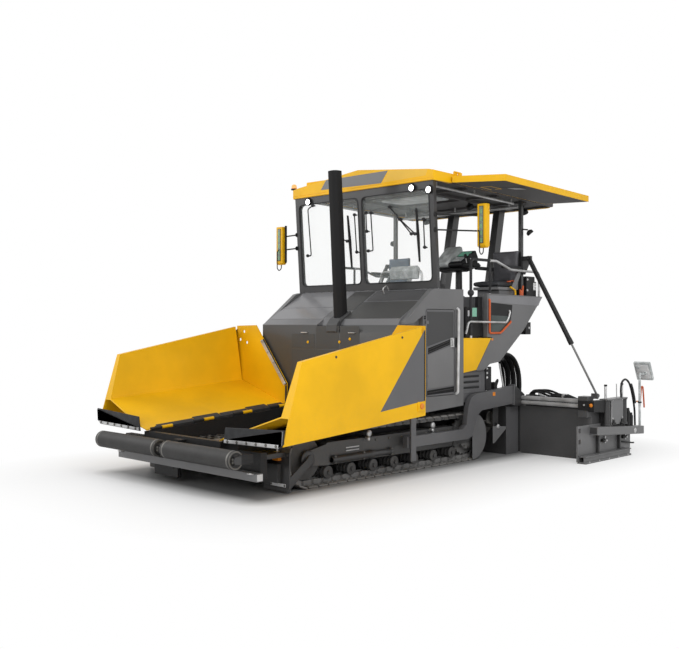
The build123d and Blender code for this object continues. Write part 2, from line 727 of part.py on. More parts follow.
# Handrails of round tube
with BuildPart() as handrail_left:
    rail_x = side_outer - 18
    with BuildLine() as rail_path:
        FilletPolyline((rail_x, 740, 1584.7), (rail_x, 740, 2600), (rail_x, 1300, 2600), (rail_x, 1640, 2500),
                       (rail_x, 2340, 2490), (rail_x, 2340, 2151.3), radius=60)
    with BuildSketch(Plane(origin=(rail_x, 740, 1584.7), z_dir=(0, 0, 1))):
        Circle(17)
    sweep(path=rail_path.line)
    with Locations((rail_x, 1160, 2382)):
        Cylinder(15, 434.8)
write_both(handrail_left.part, "handrails")

# Tow guides: two bars beside the arm's front end, joined by the tow point's pin
with BuildPart() as tow_guide_left:
    add(block((arm_outer + running, arm_outer + running + 22), (pivot[0] - 45, pivot[0] + 45), (140, 735)))
    add(block((track_outer - 80, arm_outer + running + 22), (pivot[0] - 45, pivot[0] + 45),
              (700, base_top - base_plate - seat)))
    add(rod_x((track_outer + 4, arm_outer + running + 5), pivot[0], pivot[1], pivot_pin))
write_both(tow_guide_left.part, "tow_guides")

# Tow arms
arm_rear = screed_front + 50
arm_outline = [(-560, 300), (-560, 430), (520, 430), (600, 480), (640, 700), (700, 815), (790, 862),
               (arm_rear, 930), (arm_rear, 690), (930, 645), (840, 590), (720, 330), (640, 300)]
with BuildPart() as tow_arm_left:
    with BuildSketch(Plane.YZ.offset(arm_inner)):
        with BuildLine():
            Polyline(arm_outline, close=True)
        make_face()
        with Locations(pivot):
            Circle(pivot_pin + play, mode=Mode.SUBTRACT)
    extrude(amount=arm_outer - arm_inner)
    add(block((arm_inner, housing_end), (arm_rear, arm_rear + 22), (670, 950)))
write_both(tow_arm_left.part, "tow_arms")

# Main screed: box, guide housing, cover, rear apron and walkway
cover_z = screed_top + 40
guide_wall = screed_rear + 15
with BuildPart() as main_screed:
    add(block((-main_half, main_half), (screed_front, screed_rear), (0, screed_top)))
    add(block((-main_half, main_half), (1800, guide_wall), (screed_top, 805)))
    for side in (-1, 1):
        low, high = sorted((side * main_half, side * housing_end))
        add(along(low, [(arm_rear + 22 + seat, 660), (arm_rear + 22 + seat, 940), (guide_wall, 805),
                        (guide_wall, 660)], high - low))
    add(block((-1150, 1150), (1890, 2362), (cover_z, cover_z + 25)))
    add(block((-1150, 1150), (2345, 2362), (340, cover_z + 5)))
    add(block((-1150, 1150), (2362, walk_rear), (340, 365)))
    for side in (-1, 1):
        for z in guide_z:
            low, high = sorted((side * 280, side * (housing_end + 1)))
            add(rod_x((low, high), guide_y, z, guide_radius + play), mode=Mode.SUBTRACT)
write(main_screed.part, "main_screed")

# Screed extensions: box with sole, tube bracket and walkway
with BuildPart() as extension_left:
    add(block((extension_inner, gate_inner), (extension_front, extension_rear), (0, screed_top)))
    add(block((housing_end + slide_travel + 15, gate_inner), (1790, 1945), (screed_top - 5, 830)))
    add(block((housing_end + slide_travel + 15, gate_inner), (1790, extension_front + 5), (560, screed_top)))
    add(block((extension_inner + 85, gate_inner), (extension_rear, walk_rear), (285, 310)))
    # lug beside the strut's eye
    add(block((gate_inner - 30, strut_foot[0] + 30), (1930, strut_y - 18),
              (strut_foot[1] - 40, strut_foot[1] + 30)))
write_pair(extension_left.part, "extension")

with BuildPart() as guide_tubes_left:
    for z in guide_z:
        add(rod_x((housing_end - 135, housing_end + slide_travel + 15 - seat), guide_y, z, guide_radius))
write_pair(guide_tubes_left.part, "guide_tubes")

# End gates: plate, skid, beam, hydraulic box and threaded posts
with BuildPart() as end_gate_left:
    add(block((gate_inner + seat, gate_inner + 20), (1510, 2900), (20, 470)))
    add(block((gate_inner + seat, gate_outer - 20), (1520, 2730), (0, 95)))
    add(along(gate_inner + 20, [(1790, 454), (3060, 372), (3060, 262), (1790, 345)],
              gate_outer - gate_inner - 20))
    add(block((gate_inner + 10, gate_outer), (2070, 2600), (400, 790)))
    for y in (2120, 2560):
        with Locations((gate_outer - 70, y, 880)):
            Cylinder(17, 190)
    for z in (gate_holes[1] - gate_hole_pitch / 2, gate_holes[1] + gate_hole_pitch / 2):
        add(rod_x((gate_inner - 10, gate_inner + 40), gate_holes[0], z, gate_hole_radius), mode=Mode.SUBTRACT)
write_pair(end_gate_left.part, "end_gate")

with BuildPart() as control_panel_left:
    with Locations((gate_outer - 45, 3020, 735.5)):
        Cylinder(16, 719)
    add(along(gate_outer - 60, [(3020, 1062), (3020, 1092), (3140, 1092), (3150, 1062)], 30))
    add(along(gate_outer - 160, [(3178, 990), (3062, 1228), (3098, 1246), (3214, 1008)], 230))
write_pair(control_panel_left.part, "control_panel")

# Augers before the screed, on a hanger at the middle and outer bearings
flight_pitch = 300.0
for name, side in (("left", 1), ("right", -1)):
    with BuildPart() as auger:
        low, high = sorted((side * 90, side * 1150))
        add(rod_x((low, high), auger_y, auger_z, auger_shaft))
        low, high = sorted((side * 55, side * 1172))
        add(rod_x((low, high), auger_y, auger_z, auger_journal))
        for i in range(4):
            with Locations(Location((side * (210 + 240 * i), auger_y, auger_z), (0, 78, 0))):
                Cylinder(auger_radius - 15, 14)
    write(auger.part, f"auger_{name}")

with BuildPart() as auger_hanger:
    add(block((-70, 70), (frame_rear + seat, auger_y + 60), (auger_z - 90, auger_z + 90)))
    for side in (-1, 1):
        low, high = sorted((side * (1150 + running), side * 1176))
        add(block((low, high), (auger_y - 60, auger_y + 60), (auger_z - 120, 705)))
        low, high = sorted((side * 60, side * 1176))
        add(block((low, high), (auger_y - 40, auger_y + 40), (700, 735)))
    for side in (-1, 1):
        low, high = sorted((side * 700, side * 800))
        add(block((low, high), (frame_rear + seat, auger_y + 40), (680, 735)))
        low, high = sorted((side * 50, side * 1180))
        add(rod_x((low, high), auger_y, auger_z, auger_journal + play), mode=Mode.SUBTRACT)
    add(block((-70, 70), (frame_rear + seat, auger_y + 40), (auger_z + 85, 735)))
write(auger_hanger.part, "auger_hanger")

# Struts from the canopy's side posts to the extensions: tube above, rod below
strut_run = strut_foot[0] - strut_top[0]
strut_drop = strut_top[1] - strut_foot[1]
strut_length = sqrt(strut_run ** 2 + strut_drop ** 2)
strut_lean = atan2(strut_run, strut_drop)
strut_plane = Plane(origin=(strut_top[0], strut_y, strut_top[1]), x_dir=(0, 1, 0),
                    z_dir=(sin(strut_lean), 0, -cos(strut_lean)))
with BuildPart() as strut_tube_left:
    with BuildSketch(strut_plane):
        Circle(strut_radius)
    extrude(amount=strut_tube)
    with BuildSketch(strut_plane.offset(strut_tube)):
        Circle(strut_rod + play)
    extrude(amount=-400, mode=Mode.SUBTRACT)
    with Locations(Location((strut_top[0], strut_y, strut_top[1]), (90, 0, 0))):
        Cylinder(strut_radius, 28)
        Cylinder(60, 100, mode=Mode.SUBTRACT)
        Cylinder(strut_radius, 26)
    with BuildSketch(strut_plane.offset(20)):
        Rectangle(26, 50)
    extrude(amount=60)
    with Locations(Location((strut_top[0], strut_y, strut_top[1]), (90, 0, 0))):
        Cylinder(10 + play, 200, mode=Mode.SUBTRACT)
write_pair(strut_tube_left.part, "strut_tube")

with BuildPart() as strut_rod_left:
    with BuildSketch(strut_plane.offset(strut_tube - 100)):
        Circle(strut_rod)
    extrude(amount=strut_length - strut_tube + 80)
    with Locations(Location((strut_foot[0], strut_y, strut_foot[1]), (90, 0, 0))):
        Cylinder(28, 26)
        Cylinder(11, 60, mode=Mode.SUBTRACT)
write_pair(strut_rod_left.part, "strut_rod")

# Display boxes on arms beside the windshield
display = (90.0, 130.0, 530.0)
with BuildPart() as display_boxes:
    for x, y, top in ((1610, 440, 3250), (-1610, -20, 3165)):
        reach = glass_half + seat if x > 0 else -glass_half - seat
        low, high = sorted((reach, x))
        for z in (top - 140, top - 330):
            add(block((low, high), (-20, 10), (z - 12, z + 12)))
        arm_low, arm_high = sorted((0, y))
        add(block((x - 14, x + 14), (arm_low - 10, arm_high), (top - 360, top - 110)))
        add(block((x - display[1] / 2, x + display[1] / 2), (y, y + display[0]), (top - display[2], top)))
write(display_boxes.part, "display_boxes")

# Beacon on the roof's right front corner, work lamps on the windshield's header
with BuildPart() as lamps:
    beacon_x = -roof_half - 10
    roof_edge = roof_half - roof_corner + roof_corner * (10 - roof_front) / (237 - roof_front)
    add(block((beacon_x - 12, -roof_edge - seat), (-10, 10), (roof_eave - 80, roof_eave - 68)))
    with Locations((beacon_x, 0, roof_eave - 25)):
        Cylinder(12, 110)
    with Locations((beacon_x, 0, roof_eave + 68)):
        Cylinder(45, 80)
    for x, z in ((-950, roof_lip - 68), (920, roof_lip - 68), (glass_half - 50, roof_lip - 115)):
        back = glass_foot[0] - (z + 48 - glass_foot[1]) * tan(lean) - frame_depth / 2 / cos(lean) - seat
        with Locations(Location((x, back - 18, z), (90, 0, 0))):
            Cylinder(48, 36)
write(lamps.part, "lamps")

# Control console between the seats
with BuildPart() as control_console:
    with Locations((420, 1560, (console_top + 2600) / 2)):
        Cylinder(45, 2600 - console_top - 2 * seat)
    add(along(180, [(1300, 2560), (1290, 2600), (1640, 2800), (1700, 2700), (1680, 2590), (1400, 2540)], 480))
    add(block((640, 860), (1330, 1420), (2540, 2600)))
write(control_console.part, "control_console")

# Hoses that arch from the rear apron onto the screed's cover; they bend as the screed lifts
with BuildPart() as screed_hoses:
    for i, x in enumerate(hose_places):
        rise = 25 * (i % 2)
        foot = cover_z + 25 + seat
        with BuildLine() as route:
            FilletPolyline((x, 1400, 1330 + rise), (x, 1490, 1340 + rise), (x, 1800, 1300 + rise),
                           (x, 2040 + rise, 1090), (x, 2150 + rise, foot + 120),
                           (x, 2150 + rise, foot), radius=90)
        with BuildSketch(Plane(origin=route.line @ 0, z_dir=route.line % 0)):
            Circle(hose_radius)
        sweep(path=route.line)
    with BuildSketch(Plane.YZ):
        with BuildLine():
            Polyline([(1360 + seat, 1262), (1740, 1540), (1360, 1540)], close=True)
        make_face()
    extrude(amount=2 * body_half, both=True, mode=Mode.SUBTRACT)
write(screed_hoses.part, "screed_hoses")
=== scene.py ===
import json
import math
import random

import bmesh
import bpy
from mathutils import Matrix, Vector
from mathutils.bvhtree import BVHTree


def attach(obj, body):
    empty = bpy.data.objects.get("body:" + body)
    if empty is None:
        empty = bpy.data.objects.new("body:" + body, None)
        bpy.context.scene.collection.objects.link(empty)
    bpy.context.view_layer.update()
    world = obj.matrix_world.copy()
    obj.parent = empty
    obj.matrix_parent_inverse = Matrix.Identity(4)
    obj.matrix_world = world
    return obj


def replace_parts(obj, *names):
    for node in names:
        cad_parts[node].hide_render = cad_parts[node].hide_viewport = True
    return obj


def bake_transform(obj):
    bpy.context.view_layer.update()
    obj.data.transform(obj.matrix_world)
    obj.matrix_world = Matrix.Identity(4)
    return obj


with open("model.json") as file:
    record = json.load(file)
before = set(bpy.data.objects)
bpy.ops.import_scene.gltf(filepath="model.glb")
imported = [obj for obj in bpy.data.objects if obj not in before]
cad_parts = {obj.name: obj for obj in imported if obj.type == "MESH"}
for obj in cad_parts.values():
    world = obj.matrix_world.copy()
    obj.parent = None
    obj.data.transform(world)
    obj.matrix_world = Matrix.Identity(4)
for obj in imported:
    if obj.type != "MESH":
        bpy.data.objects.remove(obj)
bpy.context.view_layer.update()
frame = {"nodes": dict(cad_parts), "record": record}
nodes = frame["nodes"]
record = frame["record"]
bodyOf = {node: body for body, members in record["behaviour"]["bodies"].items() for node in members}
slotOf = {part["node"]: part["material_slot"] for part in record["subparts"]}
scene = bpy.context.scene
sides = ((1, "left"), (-1, "right"))
print("frame loaded:", len(nodes), "nodes")

# camera at the photograph's place
photoView = {"place": (8.269, -8.809, 1.758), "turn": 44.56, "lens": 48.49, "sensor": 36}
lens = bpy.data.cameras.new("camera")
lens.lens = photoView["lens"]
lens.sensor_width = photoView["sensor"]
lens.clip_end = 200
camera = bpy.data.objects.new("camera", lens)
camera.location = photoView["place"]
camera.rotation_euler = (math.pi / 2, 0, math.radians(photoView["turn"]))
scene.collection.objects.link(camera)
scene.camera = camera


# shader values that Python operators work on
class Value:
    def __init__(self, tree, socket):
        self.tree = tree
        self.socket = socket

    def math(self, operation, other=None, swapped=False):
        node = self.tree.nodes.new("ShaderNodeMath")
        node.operation = operation
        terms = (other, self) if swapped else (self, other)
        for term, entry in zip(terms, node.inputs):
            if isinstance(term, Value):
                self.tree.links.new(term.socket, entry)
            elif term is not None:
                entry.default_value = term
        return Value(self.tree, node.outputs[0])

    def __add__(self, other):
        return self.math("ADD", other)

    def __sub__(self, other):
        return self.math("SUBTRACT", other)

    def __rsub__(self, other):
        return self.math("SUBTRACT", other, True)

    def __mul__(self, other):
        return self.math("MULTIPLY", other)

    __radd__ = __add__


def paintTone(red, green, blue):  # a screen colour, 0 to 255, as the shader wants it
    return tuple(((c / 255 + 0.055) / 1.055) ** 2.4 if c > 10 else c / 3295 for c in (red, green, blue)) + (1,)


def scaled(tone, share, more=0.0):
    return tuple(min(1, c * share + more) for c in tone[:3]) + (1,)


class Finish:  # one material; add() makes any of its nodes
    def __init__(self, name):
        self.material = bpy.data.materials.new(name)
        self.material.use_nodes = True
        self.tree = self.material.node_tree
        self.tree.nodes.clear()
        self.shader = self.tree.nodes.new("ShaderNodeBsdfPrincipled")
        output = self.tree.nodes.new("ShaderNodeOutputMaterial")
        self.tree.links.new(self.shader.outputs[0], output.inputs[0])
        self.place = self.add("ShaderNodeTexCoord", out="Object")

    def add(self, kind, settings=None, entries=None, out=0):
        node = self.tree.nodes.new(kind)
        for key, setting in (settings or {}).items():
            setattr(node, key, setting)
        for key, entry in (entries or {}).items():
            self.feed(node.inputs[key], entry)
        return Value(self.tree, node.outputs[out])

    def feed(self, socket, entry):
        if isinstance(entry, Value):
            self.tree.links.new(entry.socket, socket)
        else:
            socket.default_value = entry

    def set(self, **entries):
        for key, entry in entries.items():
            self.feed(self.shader.inputs[key.replace("_", " ")], entry)

    def noise(self, scale, detail=3.0, stretch=None):
        spot = self.place
        if stretch:
            spot = self.add("ShaderNodeMapping", entries={"Vector": spot, "Scale": stretch})
        return self.add("ShaderNodeTexNoise", entries={"Vector": spot, "Scale": scale, "Detail": detail})

    def axis(self, letter):
        return self.add("ShaderNodeSeparateXYZ", entries={"Vector": self.place}, out=letter)

    def ramp(self, value, low, high):  # 0 below low, 1 above high
        return self.add("ShaderNodeMapRange", {"clamp": True},
                        {"Value": value, "From Min": low, "From Max": high, "To Min": 0.0, "To Max": 1.0})

    def mix(self, share, first, second):
        return self.add("ShaderNodeMix", {"data_type": "RGBA"}, {0: share, 6: first, 7: second}, out=2)

    def bump(self, height, strength, distance):
        entries = {"Height": height, "Strength": strength, "Distance": distance}
        self.set(Normal=self.add("ShaderNodeBump", entries=entries))


def paint(name, tone, rough=0.38, dust=0.35, coat=0.25, peel=0.08, gloss=0.5, lower=None):
    # sprayed paint: slight clouding, orange peel, road dust low down
    look = Finish(name)
    tone = paintTone(*tone)
    cloud = look.noise(1.7, 4)
    speck = look.noise(38, 5)
    base = look.mix(look.ramp(cloud, 0.35, 0.65), scaled(tone, 0.86), tone)
    if lower:  # (height, tone below it)
        base = look.mix(look.ramp(look.axis("Z"), lower[0] - 0.004, lower[0] + 0.004), paintTone(*lower[1]), base)
    low = 1 - look.ramp(look.axis("Z"), 0.05, 1.1)
    dusty = look.ramp(speck, 0.42, 0.72) * low * dust
    base = look.mix(dusty, base, paintTone(126, 120, 110))
    look.set(Base_Color=base, Roughness=rough + cloud * 0.1 + dusty * 0.5, Metallic=0.0)
    look.set(Coat_Weight=coat, Coat_Roughness=0.12, Specular_IOR_Level=gloss)
    look.bump(look.noise(420, 1), peel, 0.0004)
    return look.material


def bareMetal(name, tone, rough=0.35, grain=(1, 1, 1), metallic=0.9):
    look = Finish(name)
    tone = paintTone(*tone)
    streak = look.noise(60, 4, grain)
    stain = look.noise(5, 4)
    look.set(Base_Color=look.mix(look.ramp(stain, 0.4, 0.75), tone, scaled(tone, 0.55)), Metallic=metallic,
             Roughness=rough + streak * 0.18)
    look.bump(streak, 0.12, 0.0006)
    return look.material


def rubberFinish(name, tone, rough=0.75, grit=0.3, gloss=0.5):
    look = Finish(name)
    tone = paintTone(*tone)
    fine = look.noise(260, 3)
    wear = look.noise(9, 4)
    look.set(Base_Color=look.mix(look.ramp(wear, 0.45, 0.8), tone, scaled(tone, 2.2, 0.01)),
             Roughness=rough + fine * 0.15, Specular_IOR_Level=gloss)
    look.bump(fine, grit, 0.0008)
    return look.material


def glowFinish(name, tone, strength):
    look = Finish(name)
    tone = paintTone(*tone)
    cell = look.noise(90, 1)
    look.set(Base_Color=look.mix(cell * 0.3, tone, (1, 1, 1, 1)), Roughness=0.25, Emission_Color=tone,
             Emission_Strength=strength)
    return look.material


yellowPaint = paint("yellowPaint", (246, 189, 6), 0.42, 0.12, 0.10, 0.08, 0.25)
palePaint = paint("palePaint", (238, 190, 66), 0.42, 0.1, 0.1, 0.08, 0.25)
greyPaint = paint("greyPaint", (90, 90, 92), 0.36, 0.1, 0.3)
darkPaint = paint("darkPaint", (50, 50, 51), 0.4, 0.06, 0.2)
lightPaint = paint("lightPaint", (124, 124, 127), 0.36, 0.05, 0.3)
recessPaint = paint("recessPaint", (60, 70, 68), 0.4, 0.05, 0.2)
blackPaint = paint("blackPaint", (28, 28, 29), 0.5, 0.05, 0.05, 0.08, 0.3)
stackPaint = paint("stackPaint", (26, 26, 27), 0.6, 0.0, 0.0, 0.08, 0.2)
framePaint = paint("framePaint", (104, 104, 105), 0.38, 0.08, 0.2)
panelPaint = paint("panelPaint", (226, 226, 226), 0.45, 0.0, 0.1)
hoodPaint = paint("hoodPaint", (106, 106, 108), 0.34, 0.05, 0.3, lower=(1.752, (60, 60, 60)))
wallPaint = paint("wallPaint", (74, 74, 75), 0.42, 0.05, 0.2)
trackPaint = paint("trackPaint", (72, 72, 72), 0.42, 0.1, 0.2)
frontPaint = paint("frontPaint", (62, 62, 61), 0.5, 0.0, 0.1)
packPaint = paint("packPaint", (112, 112, 113), 0.4, 0.1, 0.2)
linerPaint = paint("linerPaint", (66, 64, 64), 0.6, 0.0, 0.0, 0.2)
orangePaint = paint("orangePaint", (212, 96, 48), 0.45, 0.1, 0.1, 0.08, 0.3)
reflectorFinish = paint("reflectorFinish", (232, 136, 6), 0.3, 0.0, 0.3, 0.3)
zincMetal = bareMetal("zincMetal", (205, 205, 205), 0.34, (1, 1, 6), 0.7)
brightMetal = bareMetal("brightMetal", (228, 228, 228), 0.4, (1, 1, 6), 0.3)
tubeChrome = bareMetal("tubeChrome", (186, 186, 186), 0.3, (8, 1, 1), 0.35)
wornSteel = bareMetal("wornSteel", (120, 118, 114), 0.42)
shoeSteel = bareMetal("shoeSteel", (132, 130, 127), 0.5, (1, 1, 1), 0.15)
wheelSteel = bareMetal("wheelSteel", (84, 83, 82), 0.55, (1, 1, 1), 0.15)
castSteel = bareMetal("castSteel", (128, 127, 126), 0.5, (1, 1, 1), 0.15)
rollerSteel = bareMetal("rollerSteel", (42, 41, 40), 0.5, (1, 1, 1), 0.1)
rodSteel = bareMetal("rodSteel", (128, 128, 128), 0.45, (1, 1, 1), 0.3)
padRubber = rubberFinish("padRubber", (92, 90, 88))
flapRubber = rubberFinish("flapRubber", (26, 27, 29), 0.6, 0.15)
hoseRubber = rubberFinish("hoseRubber", (22, 22, 23), 0.6, 0.2, 0.3)
gripRubber = rubberFinish("gripRubber", (32, 32, 34), 0.7, 0.4)
boxPlastic = rubberFinish("boxPlastic", (176, 180, 180), 0.45, 0.1)
lampGlow = glowFinish("lampGlow", (255, 255, 255), 6.0)
beaconGlow = glowFinish("beaconGlow", (250, 150, 30), 0.5)
faceGlow = glowFinish("faceGlow", (52, 84, 62), 0.06)
segmentGlow = glowFinish("segmentGlow", (60, 130, 60), 0.25)
panelGlow = glowFinish("panelGlow", (70, 150, 120), 0.25)


def glassFinish(name, clear):
    look = Finish(name)
    smear = look.noise(4, 3)
    look.set(Base_Color=look.mix(smear * 0.4, (0.82, 0.9, 0.88, 1), (0.9, 0.94, 0.92, 1)),
             Roughness=0.03 + smear * 0.05, Alpha=clear + smear * 0.03)
    return look.material


def vinylFinish(name, tone):
    look = Finish(name)
    tone = paintTone(*tone)
    grain = look.add("ShaderNodeTexVoronoi", {"feature": "DISTANCE_TO_EDGE"}, {"Vector": look.place, "Scale": 230})
    cloud = look.noise(6, 3)
    look.set(Base_Color=look.mix(look.ramp(cloud, 0.45, 0.7), tone, scaled(tone, 1.8, 0.004)),
             Roughness=0.5 + grain * 0.3)
    look.bump(grain, 0.35, 0.0006)
    return look.material


def slatFinish(name):  # conveyor bars, polished by the mix along their middle
    look = Finish(name)
    scuff = look.noise(14, 5, (1, 0.3, 1))
    look.set(Base_Color=look.mix(look.ramp(scuff, 0.4, 0.65), paintTone(60, 56, 52), paintTone(138, 134, 128)),
             Metallic=0.75, Roughness=0.3 + scuff * 0.35)
    look.bump(look.noise(80, 4), 0.2, 0.0008)
    return look.material


windowGlass = glassFinish("windowGlass", 0.07)
seatVinyl = vinylFinish("seatVinyl", (44, 45, 48))
seatCloth = vinylFinish("seatCloth", (86, 86, 90))
conveyorSteel = slatFinish("conveyorSteel")
usualSlots = {
    "bare_steel": (conveyorSteel, wornSteel, zincMetal, brightMetal),
    "body_grey": (frontPaint, lightPaint, greyPaint, recessPaint, panelPaint, packPaint),
    "box_plastic": (boxPlastic, gripRubber, lampGlow, beaconGlow, panelGlow, reflectorFinish, faceGlow, segmentGlow),
    "cast_parts": (wheelSteel, castSteel),
    "flap_rubber": (flapRubber, hoseRubber),
    "frame_dark": (linerPaint, blackPaint, darkPaint, stackPaint, framePaint),
    "machine_yellow": (yellowPaint, orangePaint),
    "seat_vinyl": (seatVinyl, seatCloth)}
slotFor = {finish.name: slot for slot, finishes in usualSlots.items() for finish in finishes}
print("finishes made")


# mesh building
def mirrored():  # inside such a loop every x given to a shape, a row, spots, bolts or a patch is the left side's
    for Shape.side, name in sides:
        Shape.suffix = "_" + name
        yield Shape.side, name
    Shape.side, Shape.suffix = 1, ""


def atSide(spot):
    return Vector((Shape.side * spot[0], spot[1], spot[2]))


def planeSpot(axis, u, v, at):  # the point at u, v in the plane that lies across the axis
    return {"X": (at, u, v), "Y": (u, at, v), "Z": (u, v, at)}[axis]


def rectangle(u1, u2, v1, v2):  # its corners in turn
    return (u1, v1), (u2, v1), (u2, v2), (u1, v2)


outward, inward, forward, upward, downward = (1, 0, 0), (-1, 0, 0), (0, -1, 0), (0, 0, 1), (0, 0, -1)


class Shape:  # closed solids gathered into one mesh
    side, suffix = 1, ""

    def __init__(self):
        self.bm = bmesh.new()

    def vert(self, spot):
        return self.bm.verts.new(atSide(spot))

    def span(self, first, second):
        first, second = atSide(first), atSide(second)
        return Vector(map(min, first, second)), Vector(map(max, first, second))

    def box(self, first, second):
        low, high = self.span(first, second)
        for vert in bmesh.ops.create_cube(self.bm, size=1)["verts"]:
            vert.co = (low + high) / 2 + Vector(c * s for c, s in zip(vert.co, high - low))
        return self

    def slab(self, outline, axis, first, second):  # outline lies across the axis
        return self.skin([[self.vert(planeSpot(axis, u, v, at)) for u, v in outline] for at in (first, second)])

    def skin(self, rings, caps=True, closed=False):
        count = len(rings[0])
        for near, far in list(zip(rings, rings[1:])) + ([(rings[-1], rings[0])] if closed else []):
            for i in range(count):
                j = (i + 1) % count
                self.bm.faces.new((near[i], near[j], far[j], far[i]))
        if caps and not closed:
            self.bm.faces.new(rings[0])
            self.bm.faces.new(rings[-1])
        return self

    def cells(self, axis, us, vs, skip, first, second):  # a plate of cells across the axis, some of them open
        kept = {(i, j) for i in range(len(us) - 1) for j in range(len(vs) - 1)} - set(skip)
        made = {}

        def corner(i, j, k):
            if (i, j, k) not in made:
                made[i, j, k] = self.vert(planeSpot(axis, us[i], vs[j], (first, second)[k]))
            return made[i, j, k]

        for i, j in kept:
            for k in (0, 1):
                self.bm.faces.new([corner(i + a, j + b, k) for a, b in ((0, 0), (1, 0), (1, 1), (0, 1))])
            for di, dj, a, b, c, d in ((-1, 0, i, j, i, j + 1), (1, 0, i + 1, j, i + 1, j + 1),
                                       (0, -1, i, j, i + 1, j), (0, 1, i, j + 1, i + 1, j + 1)):
                if (i + di, j + dj) not in kept:
                    self.bm.faces.new((corner(a, b, 0), corner(c, d, 0), corner(c, d, 1), corner(a, b, 1)))
        return self

    def rod(self, start, end, radius, sides=14):
        start, end = atSide(start), atSide(end)
        turn = (end - start).to_track_quat("Z", "Y").to_matrix().to_4x4()
        bmesh.ops.create_cone(self.bm, cap_ends=True, segments=sides, radius1=radius, radius2=radius,
                              depth=(end - start).length, matrix=Matrix.Translation((start + end) / 2) @ turn)
        return self

    def ball(self, centre, radius, squash=(1, 1, 1)):
        bmesh.ops.create_uvsphere(self.bm, u_segments=16, v_segments=10, radius=radius,
                                  matrix=Matrix.Translation(atSide(centre)) @ Matrix.Diagonal((*squash, 1)))
        return self

    def lathe(self, profile, centre, direction, sides=28, hollow=False):  # profile: (distance along, radius)
        centre, turn = atSide(centre), atSide(direction).to_track_quat("Z", "Y").to_matrix()
        ways = [(math.cos(a), math.sin(a)) for a in (2 * math.pi * i / sides for i in range(sides))]
        return self.skin([[self.bm.verts.new(centre + turn @ Vector((radius * c, radius * s, along))) for c, s in ways]
                          for along, radius in profile], closed=hollow)

    def tube(self, points, radius, bend=0.05, sides=10, closed=False, flat=1.0):
        path = roundedPath([atSide(p) for p in points], bend, closed)
        wide = Vector((0.13, 0.21, 0.97)).cross(path[1] - path[0]).normalized()
        rings = []
        for i, point in enumerate(path):
            before = path[i - 1] if i or closed else path[0]
            after = path[(i + 1) % len(path)] if i < len(path) - 1 or closed else path[-1]
            run = (after - before).normalized()
            wide = (wide - run * wide.dot(run)).normalized()
            up = run.cross(wide)
            rings.append([self.bm.verts.new(point + radius * (wide * math.cos(a) + up * math.sin(a) * flat))
                          for a in (2 * math.pi * k / sides for k in range(sides))])
        return self.skin(rings, closed=closed)

    def mesh(self, name):
        bmesh.ops.recalc_face_normals(self.bm, faces=self.bm.faces)
        mesh = bpy.data.meshes.new(name)
        self.bm.to_mesh(mesh)
        self.bm.free()
        return mesh

    def put(self, name, finish, bevel=0.0, body="tractor", slot=None, smooth=35):
        return place(name + Shape.suffix, self, finish, slot, body, bevel, smooth)


def roundedPath(points, bend, closed=False):  # each corner gives way to a short curve
    path = []
    last = len(points) - 1
    for i, corner in enumerate(points):
        if not closed and i in (0, last):
            path.append(corner)
            continue
        before, after = points[i - 1] - corner, points[(i + 1) % len(points)] - corner
        reach = min(bend, before.length * 0.45, after.length * 0.45)
        start, end = corner + before.normalized() * reach, corner + after.normalized() * reach
        for k in range(6):
            t = k / 5
            path.append(start * (1 - t) ** 2 + corner * 2 * t * (1 - t) + end * t ** 2)
    return path


def place(name, shape, finish, slot=None, body="tractor", bevel=0.0, smooth=35):
    mesh = shape.mesh(name) if isinstance(shape, Shape) else shape
    mesh.materials.clear()
    mesh.materials.append(finish)
    mesh.shade_smooth()
    mesh.set_sharp_from_angle(angle=math.radians(smooth))
    piece = bpy.data.objects.new(name, mesh)
    scene.collection.objects.link(piece)
    if bevel:
        edge = piece.modifiers.new("edges", "BEVEL")
        edge.width = bevel
        edge.segments = 2
        edge.angle_limit = math.radians(30)
        edge.harden_normals = True
    if body:
        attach(piece, body)
    slot or slotFor[finish.name]
    return piece


def dress(node, finish, bevel=0.004):  # a copy of a CAD node with broken edges
    shape = Shape()
    shape.bm.from_mesh(nodes[node].data)
    bmesh.ops.remove_doubles(shape.bm, verts=shape.bm.verts, dist=0.00005)
    bmesh.ops.dissolve_limit(shape.bm, angle_limit=math.radians(0.6), verts=shape.bm.verts, edges=shape.bm.edges)
    mesh = bpy.data.meshes.new(node + "Dressed")
    shape.bm.to_mesh(mesh)
    shape.bm.free()
    piece = place(node + "Dressed", mesh, finish, slotOf[node], bodyOf[node], bevel)
    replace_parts(piece, node)
    return piece


# geometry nodes for what repeats
def newTree(name, inputs):
    tree = bpy.data.node_groups.new(name, "GeometryNodeTree")
    for label, kind in inputs:
        tree.interface.new_socket(name=label, in_out="INPUT", socket_type="NodeSocket" + kind)
    tree.interface.new_socket(name="Geometry", in_out="OUTPUT", socket_type="NodeSocketGeometry")
    return tree, tree.nodes.new("NodeGroupInput"), tree.nodes.new("NodeGroupOutput")


def addNode(tree, kind, settings=None, links=None):
    node = tree.nodes.new(kind)
    for key, setting in (settings or {}).items():
        setattr(node, key, setting)
    for key, source in (links or {}).items():
        tree.links.new(source, node.inputs[key])
    return node


def finishTree(tree, source, output, points, rotation):
    item = addNode(tree, "GeometryNodeObjectInfo", links={"Object": source.outputs["Item"]})
    links = {"Points": points, "Instance": item.outputs["Geometry"], "Rotation": rotation,
             "Scale": source.outputs["Size"]}
    spread = addNode(tree, "GeometryNodeInstanceOnPoints", links=links)
    real = addNode(tree, "GeometryNodeRealizeInstances", links={"Geometry": spread.outputs[0]})
    coloured = addNode(tree, "GeometryNodeSetMaterial",
                       links={"Geometry": real.outputs[0], "Material": source.outputs["Finish"]})
    tree.links.new(coloured.outputs[0], output.inputs[0])


